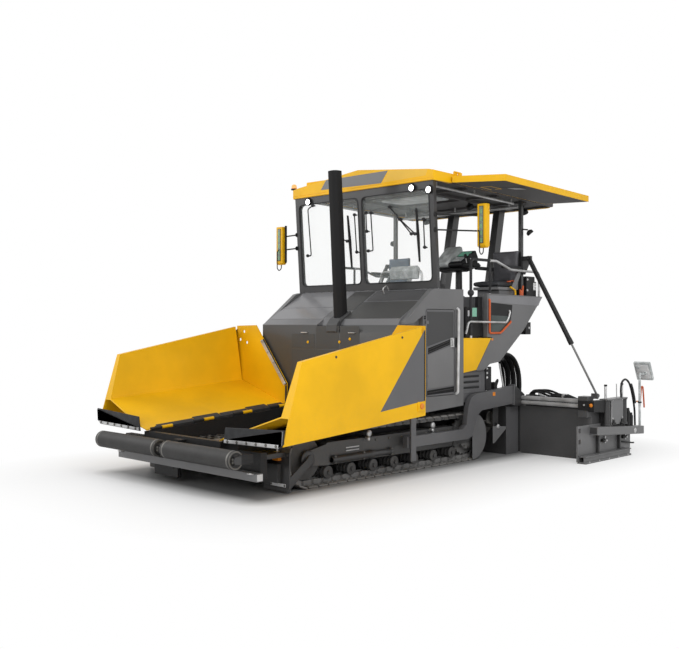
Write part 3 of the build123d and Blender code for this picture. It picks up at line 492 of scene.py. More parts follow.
treeInputs = (("Geometry", "Geometry"), ("Item", "Object"), ("Size", "Float"), ("Finish", "Material"))


def makeRowTree():  # items at even steps along a path, turned about X with it
    tree, source, output = newTree("evenRow", treeInputs + (("Count", "Int"),))
    curve = addNode(tree, "GeometryNodeMeshToCurve", links={"Mesh": source.outputs["Geometry"]})
    steps = addNode(tree, "GeometryNodeCurveToPoints", {"mode": "COUNT"},
                    {"Curve": curve.outputs[0], "Count": source.outputs["Count"]})
    turn = addNode(tree, "FunctionNodeAlignRotationToVector", {"axis": "Y", "pivot_axis": "X"},
                   {"Vector": steps.outputs["Tangent"]})
    finishTree(tree, source, output, steps.outputs["Points"], turn.outputs[0])
    return tree


def makeSpotTree():  # an item on each point, standing along the point's facing
    tree, source, output = newTree("spots", treeInputs)
    facing = addNode(tree, "GeometryNodeInputNamedAttribute", {"data_type": "FLOAT_VECTOR"})
    facing.inputs["Name"].default_value = "facing"
    turn = addNode(tree, "FunctionNodeAlignRotationToVector", {"axis": "Z"}, {"Vector": facing.outputs[0]})
    points = addNode(tree, "GeometryNodeMeshToPoints", links={"Mesh": source.outputs["Geometry"]})
    finishTree(tree, source, output, points.outputs[0], turn.outputs[0])
    return tree


rowTree, spotTree = makeRowTree(), makeSpotTree()


def runTree(tree, carrierMesh, item, finish, size=1.0, count=None):
    carrier = bpy.data.objects.new("carrier", carrierMesh)
    itemHolder = bpy.data.objects.new("item", item)
    for holder in (carrier, itemHolder):
        scene.collection.objects.link(holder)
    modifier = carrier.modifiers.new("tree", "NODES")
    modifier.node_group = tree
    wanted = {"Item": itemHolder, "Size": size, "Finish": finish, "Count": count}
    for socket in tree.interface.items_tree:
        if socket.in_out == "INPUT" and wanted.get(socket.name) is not None:
            modifier[socket.identifier] = wanted[socket.name]
    evaluated = carrier.evaluated_get(bpy.context.evaluated_depsgraph_get())
    mesh = bpy.data.meshes.new_from_object(evaluated)
    for holder in (carrier, itemHolder):
        bpy.data.objects.remove(holder)
    return mesh


def rowMesh(points, item, finish, count, closed=False):
    path = bpy.data.meshes.new("path")
    edges = [(i, i + 1) for i in range(len(points) - 1)] + ([(len(points) - 1, 0)] if closed else [])
    path.from_pydata([atSide(p) for p in points], edges, [])
    return runTree(rowTree, path, item, finish, 1.0, count)


def spotMesh(spots, item, finish, size=1.0):  # spots: (place, facing)
    cloud = bpy.data.meshes.new("cloud")
    cloud.from_pydata([atSide(spot) for spot, facing in spots], [], [])
    attribute = cloud.attributes.new("facing", "FLOAT_VECTOR", "POINT")
    for entry, (spot, facing) in zip(attribute.data, spots):
        entry.vector = atSide(facing)
    return runTree(spotTree, cloud, item, finish, size)


def boltItem(washer=1.35, head=0.7):  # unit radius hexagon head on a washer
    shape = Shape()
    shape.lathe([(-0.05, washer), (0.16, washer)], (0, 0, 0), (0, 0, 1), 12)
    return shape.lathe([(0.1, 1.0), (head, 1.0), (head + 0.12, 0.82)], (0, 0, 0), (0, 0, 1), 6).mesh("bolt")


def bolts(name, spots, finish, size=0.011, body="tractor", slot=None):
    return place(name + Shape.suffix, spotMesh(spots, boltItem(), finish, size), finish, slot, body)


def lineSpots(start, end, count, facing):
    start, end = Vector(start), Vector(end)
    return [(start.lerp(end, i / max(1, count - 1)), facing) for i in range(count)]


meshTrees = {}


def touch(node, start, direction):  # where a line from start first meets a CAD node, and how that face lies
    if node not in meshTrees:
        mesh = nodes[node].data
        faces = [tuple(face.vertices) for face in mesh.polygons]
        meshTrees[node] = BVHTree.FromPolygons([vert.co for vert in mesh.vertices], faces)
    return meshTrees[node].ray_cast(atSide(start), atSide(direction))[:2]


def patch(shape, node, corners, direction, thick=0.002, sink=0.001):  # a thin plate on a node's flat face
    hits = [touch(node, corner, direction) for corner in corners]
    normal = hits[0][1] if hits[0][1].dot(atSide(direction)) < 0 else -hits[0][1]
    shape.skin([[shape.bm.verts.new(spot + normal * lift) for spot, face in hits] for lift in (-sink, thick)])


print("tools ready")

# floor, backdrop and lamps
studio = {"floor": 60, "fade": 1.9, "world": 0.58, "key": 430, "fill": 200, "front": 220}
floorMesh = bpy.data.meshes.new("floor")
reach = studio["floor"]
floorMesh.from_pydata([(*spot, 0) for spot in rectangle(-reach, reach, -reach, reach)], [], [(0, 1, 2, 3)])
floor = bpy.data.objects.new("floor", floorMesh)
floor.location.z = -0.001
scene.collection.objects.link(floor)
floorLook = Finish("floorLook")
pale = floorLook.noise(0.4, 2)
outside = [(floorLook.axis(letter).math("ABSOLUTE") - half).math("MAXIMUM", 0.0)
           for letter, half in (("X", 1.25), ("Y", 2.85))]  # past the machine's footprint
spread = (outside[0] * outside[0] + outside[1] * outside[1]).math("SQRT")
light = floorLook.mix(pale * 0.2, (0.9, 0.9, 0.9, 1), (0.84, 0.84, 0.85, 1))
# Inside the machine's footprint the floor's colour is painted dark grey, fading to the pale floor within 0.35 m
# outside it: a painted shadow under the machine.
floorLook.set(Base_Color=floorLook.mix(floorLook.ramp(spread, 0.0, 0.35), (0.25, 0.25, 0.25, 1), light),
              Roughness=0.55)
white = floorLook.tree.nodes.new("ShaderNodeEmission")
rays = floorLook.tree.nodes.new("ShaderNodeLightPath")
cameraRay, clearRay = (Value(floorLook.tree, rays.outputs[ray]) for ray in ("Is Camera Ray", "Is Transmission Ray"))
seen = cameraRay.math("MAXIMUM", clearRay)
blend = floorLook.add("ShaderNodeMixShader", entries={0: seen * floorLook.ramp(spread, 0.0, studio["fade"]),
                                                     1: Value(floorLook.tree, floorLook.shader.outputs[0]),
                                                     2: Value(floorLook.tree, white.outputs[0])})
floorLook.tree.links.new(blend.socket, floorLook.tree.nodes["Material Output"].inputs[0])
floorMesh.materials.append(floorLook.material)

world = bpy.data.worlds.new("studio")
world.use_nodes = True
worldTree = world.node_tree
worldTree.nodes.clear()
plain, shown = worldTree.nodes.new("ShaderNodeBackground"), worldTree.nodes.new("ShaderNodeBackground")
for light, strength in ((plain, studio["world"]), (shown, 1.0)):
    light.inputs["Color"].default_value = (1, 1, 1, 1)
    light.inputs["Strength"].default_value = strength
worldRays = worldTree.nodes.new("ShaderNodeLightPath")
sky = worldTree.nodes.new("ShaderNodeMixShader")
skyOut = worldTree.nodes.new("ShaderNodeOutputWorld")
visible = Value(worldTree, worldRays.outputs["Is Camera Ray"])
for ray in ("Is Glossy Ray", "Is Transmission Ray"):
    visible = visible.math("MAXIMUM", Value(worldTree, worldRays.outputs[ray]))
worldTree.links.new(visible.socket, sky.inputs[0])
worldTree.links.new(plain.outputs[0], sky.inputs[1])
worldTree.links.new(shown.outputs[0], sky.inputs[2])
worldTree.links.new(sky.outputs[0], skyOut.inputs[0])
scene.world = world
scene.view_settings.view_transform = "Standard"


def areaLamp(name, spot, target, size, power):
    light = bpy.data.lights.new(name, "AREA")
    light.shape = "RECTANGLE"
    light.size, light.size_y = size
    light.energy = power
    lamp = bpy.data.objects.new(name, light)
    lamp.location = spot
    lamp.rotation_euler = (Vector(target) - Vector(spot)).to_track_quat("-Z", "Y").to_euler()
    scene.collection.objects.link(lamp)


areaLamp("keyLamp", (9, -3, 8), (0, 0, 1.2), (6, 6), studio["key"])
areaLamp("fillLamp", (-7, -7, 6), (0, -1, 1), (5, 5), studio["fill"])
areaLamp("frontLamp", (3, -12, 5), (0, -1, 1.2), (7, 4), studio["front"])
print("studio ready")

# CAD nodes with broken edges and their paint
dressed = (
    (yellowPaint, 0.004, "wing_left wing_right canopy_roof awning_left awning_right yellow_panels"),
    (hoodPaint, 0.005, "hood"),
    (greyPaint, 0.005, "tow_arms rear_console rear_apron tow_guides lower_body deck"),
    (greyPaint, 0.005, "service_door_left service_door_right"),
    (trackPaint, 0.005, "track_frames"),
    (wallPaint, 0.005, "extension_left extension_right"),
    (darkPaint, 0.005, "track_guards auger_hanger canopy_posts main_screed windshield_frame"),
    (blackPaint, 0.004, "strut_tube_left strut_tube_right main_frame push_beam"),
    (stackPaint, 0.004, "exhaust_stack"),
    (framePaint, 0.005, "side_frames side_consoles"),
    (packPaint, 0.004, "bumper_bar"),
    (flapRubber, 0.003, "front_flap_left front_flap_right"),
    (rollerSteel, 0.006, "push_roller_left push_roller_right engine"),
    (rodSteel, 0.0, "strut_rod_left strut_rod_right"),
    (tubeChrome, 0.002, "guide_tubes_left guide_tubes_right"),
    (zincMetal, 0.0, "handrails"))
for finish, bevel, members in dressed:
    for node in members.split():
        dress(node, finish, bevel)
nodes["windshield_glass"].data.materials.clear()
nodes["windshield_glass"].data.materials.append(windowGlass)
print("nodes dressed")

# hopper wings
hopper = {"hinge": (0.668, -2.82, 0.555), "rise": math.atan2(0.149, 2.095), "floorSlope": 0.33, "wall": 1.68,
    "rearPlate": -0.737}


def wingPoint(x, along, above):  # on the wing's floor: x across, metres along the hinge, height over the floor
    up = (x - hopper["hinge"][0]) * hopper["floorSlope"] + above
    c, s = math.cos(hopper["rise"]), math.sin(hopper["rise"])
    return (x, hopper["hinge"][1] + along * c - up * s, hopper["hinge"][2] + along * s + up * c)


def floorPatch(shape, x1, x2, a1, a2, low, high):
    shape.skin([[shape.vert(wingPoint(x, a, height)) for x, a in rectangle(x1, x2, a1, a2)]
        for height in (low, high)])


for side, name in mirrored():
    body = "wing_" + name
    wall = hopper["wall"]
    Shape().slab([(-0.738, 1.7), (-1.49, 0.816), (-0.738, 0.893)], "X", wall - 0.001, wall + 0.0012).put(
        "wingGreyPanel", greyPaint, body=body)
    Shape().slab([(-0.752, 0.893), (-0.7352, 0.894), (-0.7352, 1.69), (-0.752, 1.672)], "X", wall - 0.001,
        wall + 0.003).put("wingEdge", blackPaint, body=body)
    Shape().box((wall - 0.001, -0.868, 0.778), (wall + 0.01, -0.742, 0.887)).put(
        "wingBracket", yellowPaint, 0.003, body)
    # lamp bracket at the lower rear corner
    Shape().lathe([(0, 0.034), (0.01, 0.034), (0.015, 0.024)], (wall + 0.0095, -0.803, 0.836), outward, 20).put(
        "wingLens", reflectorFinish, body=body)
    # bolted seal strip on the rear plate's slanted edge
    y = hopper["rearPlate"]
    Shape().slab([(0.662, 0.985), (1.128, 1.552), (1.172, 1.53), (0.706, 0.955)], "Y", y, y - 0.01).put(
        "wingSealStrip", zincMetal, 0.002, body)
    Shape().slab([(0.64, 0.972), (1.112, 1.566), (1.15, 1.541), (0.69, 0.965)], "Y", y, y - 0.005).box(
        (0.65, y, 0.72), (0.672, y - 0.014, 0.96)).put("wingSealLip", flapRubber, body=body)
    spots = lineSpots((0.69, y - 0.01, 0.983), (1.144, y - 0.01, 1.535), 5, forward)
    bolts("wingSealBolts", spots, zincMetal, 0.014, body)
    # rubber patches over the hinge, wider where the knuckles are
    seal = Shape()
    for start, end, width in ((0.1, 0.62, 0.03), (0.64, 1.02, 0.06), (1.04, 1.46, 0.04), (1.48, 1.8, 0.07),
            (1.82, 2.06, 0.04)):
        floorPatch(seal, 0.684, 0.7 + width, start, end, 0.004, 0.012)
    floorPatch(seal, 0.66, 0.705, 0.07, 2.085, -0.022, 0.01)
    seal.put("wingFloorSeal", flapRubber, 0.002, body)
    # clamp strip under the flap, turned up at its outer end
    front = -2.908
    Shape().slab([(0.79, 0.535), (1.63, 0.555), (1.652, 0.575), (1.672, 0.72), (1.69, 0.718), (1.678, 0.59),
        (1.64, 0.59), (0.79, 0.57)], "Y", front, front - 0.01).put("flapClamp", zincMetal, 0.002, body)
    bolts("flapBolts", lineSpots((0.85, front - 0.01, 0.555), (1.6, front - 0.01, 0.573), 6, forward), wornSteel,
        0.012, body)
    # bolt heads under the wall's upper edge
    spots = [((1.684, yy, zz), outward) for yy, zz in ((-2.169, 1.425), (-1.133, 1.615))]
    bolts("wingPlugs", spots, darkPaint, 0.01, body)
print("hopper wings done")

# conveyor: chains of slats over a wear floor
conveyor = {"front": -2.765, "rear": 1.095, "slats": 30, "lane": 0.32, "half": 0.265}
floorBed = Shape()
for side, name in mirrored():
    x = conveyor["lane"]
    floorBed.box((x - 0.27, conveyor["front"], 0.343), (x + 0.27, conveyor["rear"], 0.408))
bed = floorBed.put("conveyorBed", conveyorSteel, 0.004)
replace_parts(bed, "conveyors")
slat = Shape().box((-conveyor["half"], -0.014, -0.012), (conveyor["half"], 0.014, 0.012))
for x in (-0.2, 0.2):
    slat.box((x - 0.022, -0.05, -0.02), (x + 0.022, 0.05, 0.004))
slatMesh = slat.mesh("slat")
for side, name in mirrored():
    x = conveyor["lane"]
    row = rowMesh([(x, conveyor["front"] + 0.05, 0.416), (x, conveyor["rear"] - 0.05, 0.416)], slatMesh,
        conveyorSteel, conveyor["slats"])
    place(f"conveyorSlats_{name}", row, conveyorSteel)
Shape().slab([(-0.05, 0.41), (-0.025, 0.455), (0.025, 0.455), (0.05, 0.41)], "Y", -2.74, 1.08).put(
    "conveyorDivider", wornSteel, 0.003)
print("conveyor done")

# tracks: shoes with pads, links, rollers, idlers, sprockets
track = {"x": 1.0285, "idler": -2.06, "sprocket": 0.83, "z": 0.312, "radius": 0.292, "shoes": 51, "half": 0.1525}


def loopPoints(x, radius):
    points = []
    for centre, first in ((track["sprocket"], -90), (track["idler"], 90)):
        for i in range(25):
            angle = math.radians(first + 180 * i / 24)
            points.append((x, centre + radius * math.cos(angle), track["z"] + radius * math.sin(angle)))
    return points


def mirrorProfile(*half):  # a turned profile that is the same to both sides
    return [*half, *((-along, radius) for along, radius in reversed(half))]


def shoeItem():  # like pads and links it lies along Y and is drawn with +Z outward
    return Shape().box((-track["half"], -0.066, -0.001), (track["half"], 0.066, 0.011))


def padItem():
    pad = Shape()
    for start in (-0.15, 0.004):
        pad.slab([(-0.06, 0), (-0.052, 0.0195), (0.052, 0.0195), (0.06, 0)], "X", start, start + 0.146)
    return pad


def linkItem():
    link = Shape()
    for x in (-0.052, 0.052):
        link.slab([(-0.079, -0.008), (-0.079, -0.04), (-0.05, -0.055), (0.03, -0.055), (0.072, -0.042),
            (0.072, -0.012), (0.03, 0), (-0.04, 0)], "X", x - 0.011, x + 0.011)
        link.rod((x - 0.019, -0.073, -0.03), (x + 0.019, -0.073, -0.03), 0.021, 12)
    link.rod((-0.08, -0.073, -0.03), (0.08, -0.073, -0.03), 0.012, 10)
    for x in (-0.095, 0.095):
        for y in (-0.035, 0.035):
            link.rod((x, y, -0.001), (x, y, -0.014), 0.012, 6)
    return link


for side, name in mirrored():
    x = track["x"]
    loop = loopPoints(x, track["radius"])
    for part, item, finish in (("shoes", shoeItem(), shoeSteel), ("pads", padItem(), padRubber),
            ("links", linkItem(), castSteel)):
        mesh = item.mesh(part)
        mesh.transform(Matrix.Scale(-1, 4, upward))  # along the loop -Z faces out
        mesh.flip_normals()
        row = rowMesh(loop, mesh, finish, track["shoes"], True)
        piece = place(f"track_{part}_{name}", row, finish, "track_pads" if part == "pads" else "cast_parts")
        if part == "shoes":
            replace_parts(piece, "track_" + name)
    wheels = Shape()
    start, end = track["idler"] + 0.26 + 0.078, track["sprocket"] - 0.26 - 0.078
    for i in range(7):
        y = start + (end - start) * i / 6
        wheels.lathe(mirrorProfile((-0.095, 0.045), (-0.088, 0.07), (-0.07, 0.07), (-0.068, 0.055), (-0.036, 0.055),
            (-0.034, 0.066), (-0.02, 0.066), (-0.016, 0.05)), (x, y, 0.1305), outward, 24).rod(
            (x - 0.112, y, 0.1305), (x + 0.112, y, 0.1305), 0.024)
    for y in (-1.068, 0.099):
        wheels.lathe(mirrorProfile((-0.09, 0.028), (-0.085, 0.04)), (x, y, 0.5023), outward, 20)
    y = track["idler"]
    wheels.lathe(mirrorProfile((-0.075, 0.1), (-0.07, 0.2), (-0.068, 0.228), (-0.03, 0.23), (-0.026, 0.249)),
        (x, y, track["z"]), outward, 48).rod((x - 0.13, y, track["z"]), (x + 0.13, y, track["z"]), 0.05, 20)
    rollers = wheels.put("trackRollers", wheelSteel)
    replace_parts(rollers, "track_rollers")
    toothed = []
    for i in range(44):
        angle, radius = 2 * math.pi * i / 44, 0.252 if i % 2 else 0.226
        toothed.append((track["sprocket"] + radius * math.cos(angle), track["z"] + radius * math.sin(angle)))
    wheel = Shape().slab(toothed, "X", x - 0.022, x + 0.022).lathe(
        mirrorProfile((-0.085, 0.12), (-0.08, 0.165)), (x, track["sprocket"], track["z"]), outward, 32).put(
        "trackSprocket", castSteel, 0.003)
    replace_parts(wheel, "sprockets")
    spots = [((x + 0.083, track["sprocket"] + 0.142 * math.cos(a), track["z"] + 0.142 * math.sin(a)), outward)
        for a in (2 * math.pi * k / 12 for k in range(12))]
    bolts("sprocketBolts", spots, wornSteel, 0.01, slot="cast_parts")
    # carrier roller caps, track tensioner, slots and idler fork
    outer = 1.124
    caps = Shape()
    for y in (-1.068, 0.099):
        caps.lathe([(0, 0.04), (0.014, 0.038), (0.022, 0.026), (0.024, 0.01)], (1.118, y, 0.505), outward, 20).lathe(
            [(0, 0.022), (0.05, 0.022), (0.056, 0.016)], (1.125, y - 0.06, 0.452), outward, 14)
    caps.put("carrierCaps", zincMetal)
    slide = Shape().lathe([(0, 0.03), (0.02, 0.042), (0.6, 0.042), (0.62, 0.052), (0.66, 0.052), (0.67, 0.036),
        (0.96, 0.034), (1.0, 0.022)], (outer + 0.024, -1.7, 0.268), (0, 1, 0), 20)
    for y in (-1.66, -1.2, -0.72):
        slide.box((outer, y - 0.022, 0.225), (outer + 0.045, y + 0.022, 0.312))
    slide.lathe([(0, 0.098), (0.01, 0.096), (0.018, 0.08), (0.02, 0.045), (0.034, 0.04)],
        (1.142, track["idler"], track["z"]), outward, 32)
    slide.put("trackTensioner", darkPaint, 0.002)
    slot = Shape()
    for z in (0.338, 0.372):
        slot.box((outer, -1.45, z), (outer + 0.006, -1.24, z + 0.01))
    slot.put("frameSlot", zincMetal)
    spots = [((1.141, track["idler"] + dy, track["z"] + dz), outward)
        for dy, dz in ((-0.035, 0.055), (-0.035, -0.055))]
    spots += lineSpots((outer, -0.95, 0.42), (outer, 0.42, 0.42), 7, outward)
    spots += [((outer + 0.045, y, z), outward) for y in (-1.66, -1.2, -0.72) for z in (0.238, 0.3)]
    bolts("trackFrameBolts", spots, wornSteel, 0.012)
print("tracks done")

# canopy: fascia panels, liners, awning skins
canopy = {"front": -0.066, "tray": 3.56, "fall": 0.034}


def ceilingAt(y):
    return canopy["tray"] - canopy["fall"] * (y - canopy["front"])


y = canopy["front"]
for name, outline, finish, slot in (("fasciaDark", [(-0.7, 3.598), (-0.6, 3.722), (0.527, 3.722), (0.407, 3.572)],
        greyPaint, "body_grey"), ("fasciaPale", [(0.43, 3.576), (0.548, 3.716), (0.8, 3.698), (1.175, 3.663),
        (1.145, 3.59)], palePaint, "machine_yellow")):
    Shape().slab(outline, "Y", y + 0.001, y - 0.0015).put(name, finish, 0.0008, slot=slot)
Shape().box((-1.255, y + 0.001, 3.529), (1.255, y - 0.006, 3.541)).box(
    (-1.255, y + 0.001, 3.56), (1.255, y - 0.004, 3.564)).put("fasciaLip", yellowPaint, 0.002)
liner = Shape().slab([(at, ceilingAt(at) + rise) for at, rise in ((0.12, 0.001), (2.63, 0.001), (2.63, -0.006),
    (0.12, -0.006))], "X", -1.235, 1.235)
for x in (-0.62, 0.62):
    liner.slab([(at, ceilingAt(at) + rise) for at, rise in ((0.14, 0), (2.6, 0), (2.6, -0.045), (0.14, -0.045))], "X",
        x - 0.03, x + 0.03)
for at in (0.75, 1.45, 2.1):
    liner.box((-1.16, at - 0.025, ceilingAt(at) - 0.035), (1.16, at + 0.025, ceilingAt(at)))
liner.put("canopyLiner", linerPaint, 0.003)
Shape().box((-0.42, 0.86, ceilingAt(1.1) - 0.03), (0.42, 1.34, ceilingAt(1.1) + 0.01)).put(
    "roofHatch", boxPlastic, 0.015)
rails = Shape()
for side, name in mirrored():
    x = 1.1
    rails.tube([(x, 0.16, ceilingAt(0.2) - 0.06), (x, 1.9, ceilingAt(1.9) - 0.06)], 0.017)
    for at in (0.2, 1.0, 1.85):
        rails.rod((x, at, ceilingAt(at)), (x, at, ceilingAt(at) - 0.06), 0.01)
rails.tube([(-1.12, 2.02, 3.395), (1.12, 2.02, 3.395)], 0.02)
for x in (-0.95, 0, 0.95):
    rails.rod((x, 2.02, 3.395), (x, 2.02, 3.49), 0.01)
rails.put("roofRails", zincMetal)
underLamps = Shape()
for x, at in ((-0.55, 1.62), (0.55, 1.62), (-0.9, 2.45), (0.9, 2.45)):
    underLamps.lathe([(0, 0.02), (0.03, 0.055), (0.07, 0.058), (0.08, 0.05)], (x, at, ceilingAt(at) - 0.05),
        (0, 0.5, -0.86), 20).rod((x, at, ceilingAt(at)), (x, at, ceilingAt(at) - 0.06), 0.012)
underLamps.put("deckLamps", blackPaint, slot="box_plastic")
ribs = Shape()
for x in (-0.42, 0, 0.42):
    patch(ribs, "canopy_roof", [(*spot, 5) for spot in rectangle(x - 0.03, x + 0.03, 0.25, 2.45)], downward, 0.01)
ribs.put("roofRibs", yellowPaint, 0.005)
for side, name in mirrored():
    node = "awning_" + name
    skin = Shape()
    shift, height, toward = (0, 2.5, upward) if side > 0 else (2.628, 4.5, downward)
    corners = ((1.345, 0.245), (2.0, 0.375), (2.0, 2.31), (1.345, 2.31)) if side > 0 else ((1.283, 0.28),
        (0.628, 0.414), (0.628, 2.335), (1.283, 2.335))
    patch(skin, node, [(x, at, height) for x, at in corners], toward)
    skin.put("awningSkin", linerPaint, 0.001, node)
    marks = Shape()
    for x1, x2, a1, a2 in ((1.43, 1.448, 0.66, 0.9), (1.43, 1.6, 0.66, 0.675), (1.584, 1.6, 0.66, 0.9),
            (1.5, 1.6, 0.885, 0.9)):
        patch(marks, node, [(abs(x - shift), at, height) for x, at in rectangle(x1, x2, a1, a2)], toward, 0.003,
            -0.0015)
    marks.put("awningMarks", yellowPaint, body=node)
    slot, streak = Shape(), Shape()
    for shape, spots, thick in ((slot, ((1.66, 0.76), (1.95, 0.82), (1.93, 1.06), (1.7, 1.0)), 0.003),
            (streak, ((1.7, 0.87), (1.84, 0.95), (1.87, 1.04), (1.74, 0.99)), 0.0035)):
        patch(shape, node, [(abs(x - shift), at, height) for x, at in spots], toward, thick, -0.0015)
    slot.put("awningSlot", blackPaint, body=node)
    streak.put("awningStreak", zincMetal, body=node)
    edge = Shape()  # dark lining over the roof's lip
    rings = []
    for at in (0.26, 2.597):
        lip = 3.525 - canopy["fall"] * (at - canopy["front"])
        rings.append([edge.vert((x, at, lip + rise)) for x, rise in ((1.246, -0.002), (1.3014, -0.002),
            (1.3014, 0.058), (1.299, 0.058), (1.299, 0.001), (1.246, 0.001))])
    edge.skin(rings).box((0.001, 2.63, 3.436), (1.238, 2.6395, 3.466))
    edge.put("roofEdge", linerPaint)
print("canopy done")

# windshield: wipers and rods on the panes
screen = {"foot": (0.073, 2.2025), "lean": 0.0673}


def onScreen(x, z, ahead=0.045):
    return (x, screen["foot"][0] - screen["lean"] * (z - screen["foot"][1]) - ahead, z)


wipers, knobs = Shape(), Shape()
for line in ([(-0.873, 3.402), (-0.97, 3.36), (-0.946, 2.715), (-1.019, 2.719)], [(-0.085, 3.21), (-0.074, 2.718)],
        [(0.123, 3.216), (0.123, 2.978)], [(0.209, 3.209), (0.22, 2.717), (0.134, 2.722)],
        [(1.083, 3.059), (1.083, 2.714)], [(-0.47, 2.954), (-0.241, 2.873)], [(0.535, 3.259), (0.878, 2.893)],
        [(0.698, 3.09), (0.937, 2.889)]):
    wipers.tube([onScreen(x, z, 0.05) for x, z in line], 0.0085, 0.03, 8)
    for x, z in (line[0], line[-1]):
        knobs.ball(onScreen(x, z, 0.048), 0.022, (1, 1.2, 1)).rod(onScreen(x, z, 0), onScreen(x, z, 0.05), 0.009, 8)
for first, last in (((-0.23, 3.214), (-0.196, 2.514)), ((0.957, 3.206), (0.976, 2.539))):
    wipers.skin([[wipers.vert(onScreen(x + across, z, ahead))
        for across, ahead in ((-w, 0.014), (w, 0.014), (w * 0.6, 0.044), (-w * 0.6, 0.044))]
        for (x, z), w in ((first, 0.006), (((first[0] + last[0]) / 2, (first[1] + last[1]) / 2), 0.017),
        (last, 0.005))])
wipers.put("wiperArms", blackPaint)
knobs.put("wiperJoints", gripRubber)
seal = Shape()
for side in (-1, 1):
    ring = [onScreen(x, z, 0.031) for x, z in rectangle(side * 0.0325, side * 1.1675, 2.295, 3.4275)]
    seal.tube(ring, 0.008, 0.072, 8, True)
seal.put("paneSeals", flapRubber)
# lamps and beacon
lampRings, lenses = Shape(), Shape()
for x, z in ((-0.95, 3.457), (0.92, 3.457), (1.19, 3.41)):
    back = onScreen(x, z + 0.048, 0.03)[1]
    lampRings.lathe([(0, 0.03), (0.004, 0.0475), (0.034, 0.0478), (0.038, 0.044), (0.038, 0.04), (0.03, 0.039)],
        (x, back, z), forward, 28).rod((x, back - 0.012, z + 0.015), (x, back - 0.012, z + 0.06), 0.014)
    lenses.lathe([(0, 0.038), (0.004, 0.036), (0.007, 0.022), (0.008, 0.006)], (x, back - 0.0295, z), forward, 28)
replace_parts(lampRings.put("lampHousings", blackPaint, slot="box_plastic"), "lamps")
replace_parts(Shape().box((-1.322, -0.01, 3.56), (-1.272, 0.01, 3.572)).rod(
    (-1.31, 0, 3.56), (-1.31, 0, 3.664), 0.012).lathe([(0, 0.02), (0.006, 0.044), (0.024, 0.045), (0.026, 0.036)],
    (-1.31, 0, 3.662), upward, 28).put("beaconStand", blackPaint, slot="box_plastic"), "lamps")
lenses.put("lampLenses", lampGlow)
Shape().lathe([(0, 0.037), (0.02, 0.038), (0.045, 0.034), (0.056, 0.024), (0.061, 0.008)], (-1.31, 0, 3.687),
    upward, 28).put("beaconDome", beaconGlow)
# display boxes on their arms
displays = {"left": {"y": 0.44, "top": 3.25}, "right": {"y": -0.02, "top": 3.165}}
for side, name in mirrored():
    x, y, top = 1.61, displays[name]["y"], displays[name]["top"]
    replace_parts(Shape().box((x - 0.065, y + 0.004, top - 0.53), (x + 0.065, y + 0.09, top)).box(
        (x - 0.058, y + 0.02, top - 0.545), (x + 0.058, y + 0.08, top + 0.001)).put(
        "displayCase", yellowPaint, 0.008), "display_boxes")
    glow = Shape()
    for k in range(5):
        z = top - 0.075 - 0.088 * k
        glow.box((x - 0.012, y, z), (x + 0.012, y - 0.0045, z - 0.05))
    Shape().box((x - 0.03, y + 0.006, top - 0.49), (x + 0.03, y - 0.001, top - 0.03)).put(
        "displayRim", blackPaint, 0.002, slot="box_plastic")
    Shape().box((x - 0.026, y, top - 0.484), (x + 0.026, y - 0.003, top - 0.036)).put("displayFace", faceGlow)
    glow.put("displayBars", segmentGlow)
    arm = Shape()
    reach = 1.2403
    inner, back = x - 0.08, y + 0.06
    for z in (top - 0.14, top - 0.33):
        arm.rod((reach, -0.005, z), (inner, back, z), 0.01, 12).lathe(
            [(0, 0.032), (0.012, 0.03), (0.016, 0.014)], (reach, -0.005, z), outward, 16).box(
            (inner, back - 0.008, z - 0.012), (x - 0.05, back + 0.008, z + 0.012))
    arm.box((inner - 0.01, back - 0.014, top - 0.515), (inner + 0.01, back + 0.014, top + 0.015))
    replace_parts(arm.put("displayArm", blackPaint, 0.003), "display_boxes")
    Shape().tube([(x, y + 0.045, top - 0.53), (x, y + 0.045, top - 0.6), (x, y, top - 0.634),
        (x, y - 0.035, top - 0.6), (x, y - 0.035, top - 0.36), (x - 0.03, y - 0.02, top - 0.33)], 0.007, 0.04, 8).put(
        "displayLead", hoseRubber)
print("windshield, lamps and displays done")

# hood: panels, louvres, pulls, exhaust collar
hood = {"front": (-0.697, 1.757), "top": (0.045, 2.2)}
pitch = math.atan2(hood["top"][1] - hood["front"][1], hood["top"][0] - hood["front"][0])


def onHood(x, along, lift=0):  # metres up the slope from the front edge
    return (x, hood["front"][0] + along * math.cos(pitch) - lift * math.sin(pitch),
        hood["front"][1] + along * math.sin(pitch) + lift * math.cos(pitch))


for label, finish, high, bevel, plates in (("hoodSidePanel", frontPaint, 0.003, 0.002, [(0.24, 1.165, 0.145, 0.56)]),
        ("hoodPanels", lightPaint, 0.003, 0.002, [(-1.165, -0.14, 0.44, 0.845), (-1.165, -0.14, 0.145, 0.432)]),
        ("hoodMiddlePanel", frontPaint, 0.003, 0.002, [(-0.13, 0.23, 0.36, 0.845)]),
        ("grilleField", blackPaint, 0.0015, 0, [(0.27, 1.165, 0.585, 0.835)])):
    panel = Shape()
    for edges in plates:
        panel.skin([[panel.vert(onHood(x, along, lift)) for x, along in rectangle(*edges)]
            for lift in (-0.001, high)])
    panel.put(label, finish, bevel)
louvre = Shape().slab([(-0.02, 0), (0.012, 0.016), (0.02, 0.012), (-0.008, -0.002)], "X", -0.435, 0.435)
louvreMesh = louvre.mesh("louvre")
louvreMesh.transform(Matrix.Rotation(pitch, 4, "X"))
louvreSpots = [(onHood(0.7175, 0.605 + 0.036 * k, 0.001), upward) for k in range(6)]
place("grilleLouvres", spotMesh(louvreSpots, louvreMesh, darkPaint, 1.0), darkPaint)
front = hood["front"][0]
faces = Shape()
for x1, x2 in ((-0.6, -0.16), (-0.14, 0.27), (0.29, 0.62)):
    faces.box((x1, front + 0.001, 1.455), (x2, front - 0.003, 1.74 if x1 > -0.15 else 1.64)).box(
        (x1, front + 0.001, 0.8), (x2, front - 0.003, 1.44))
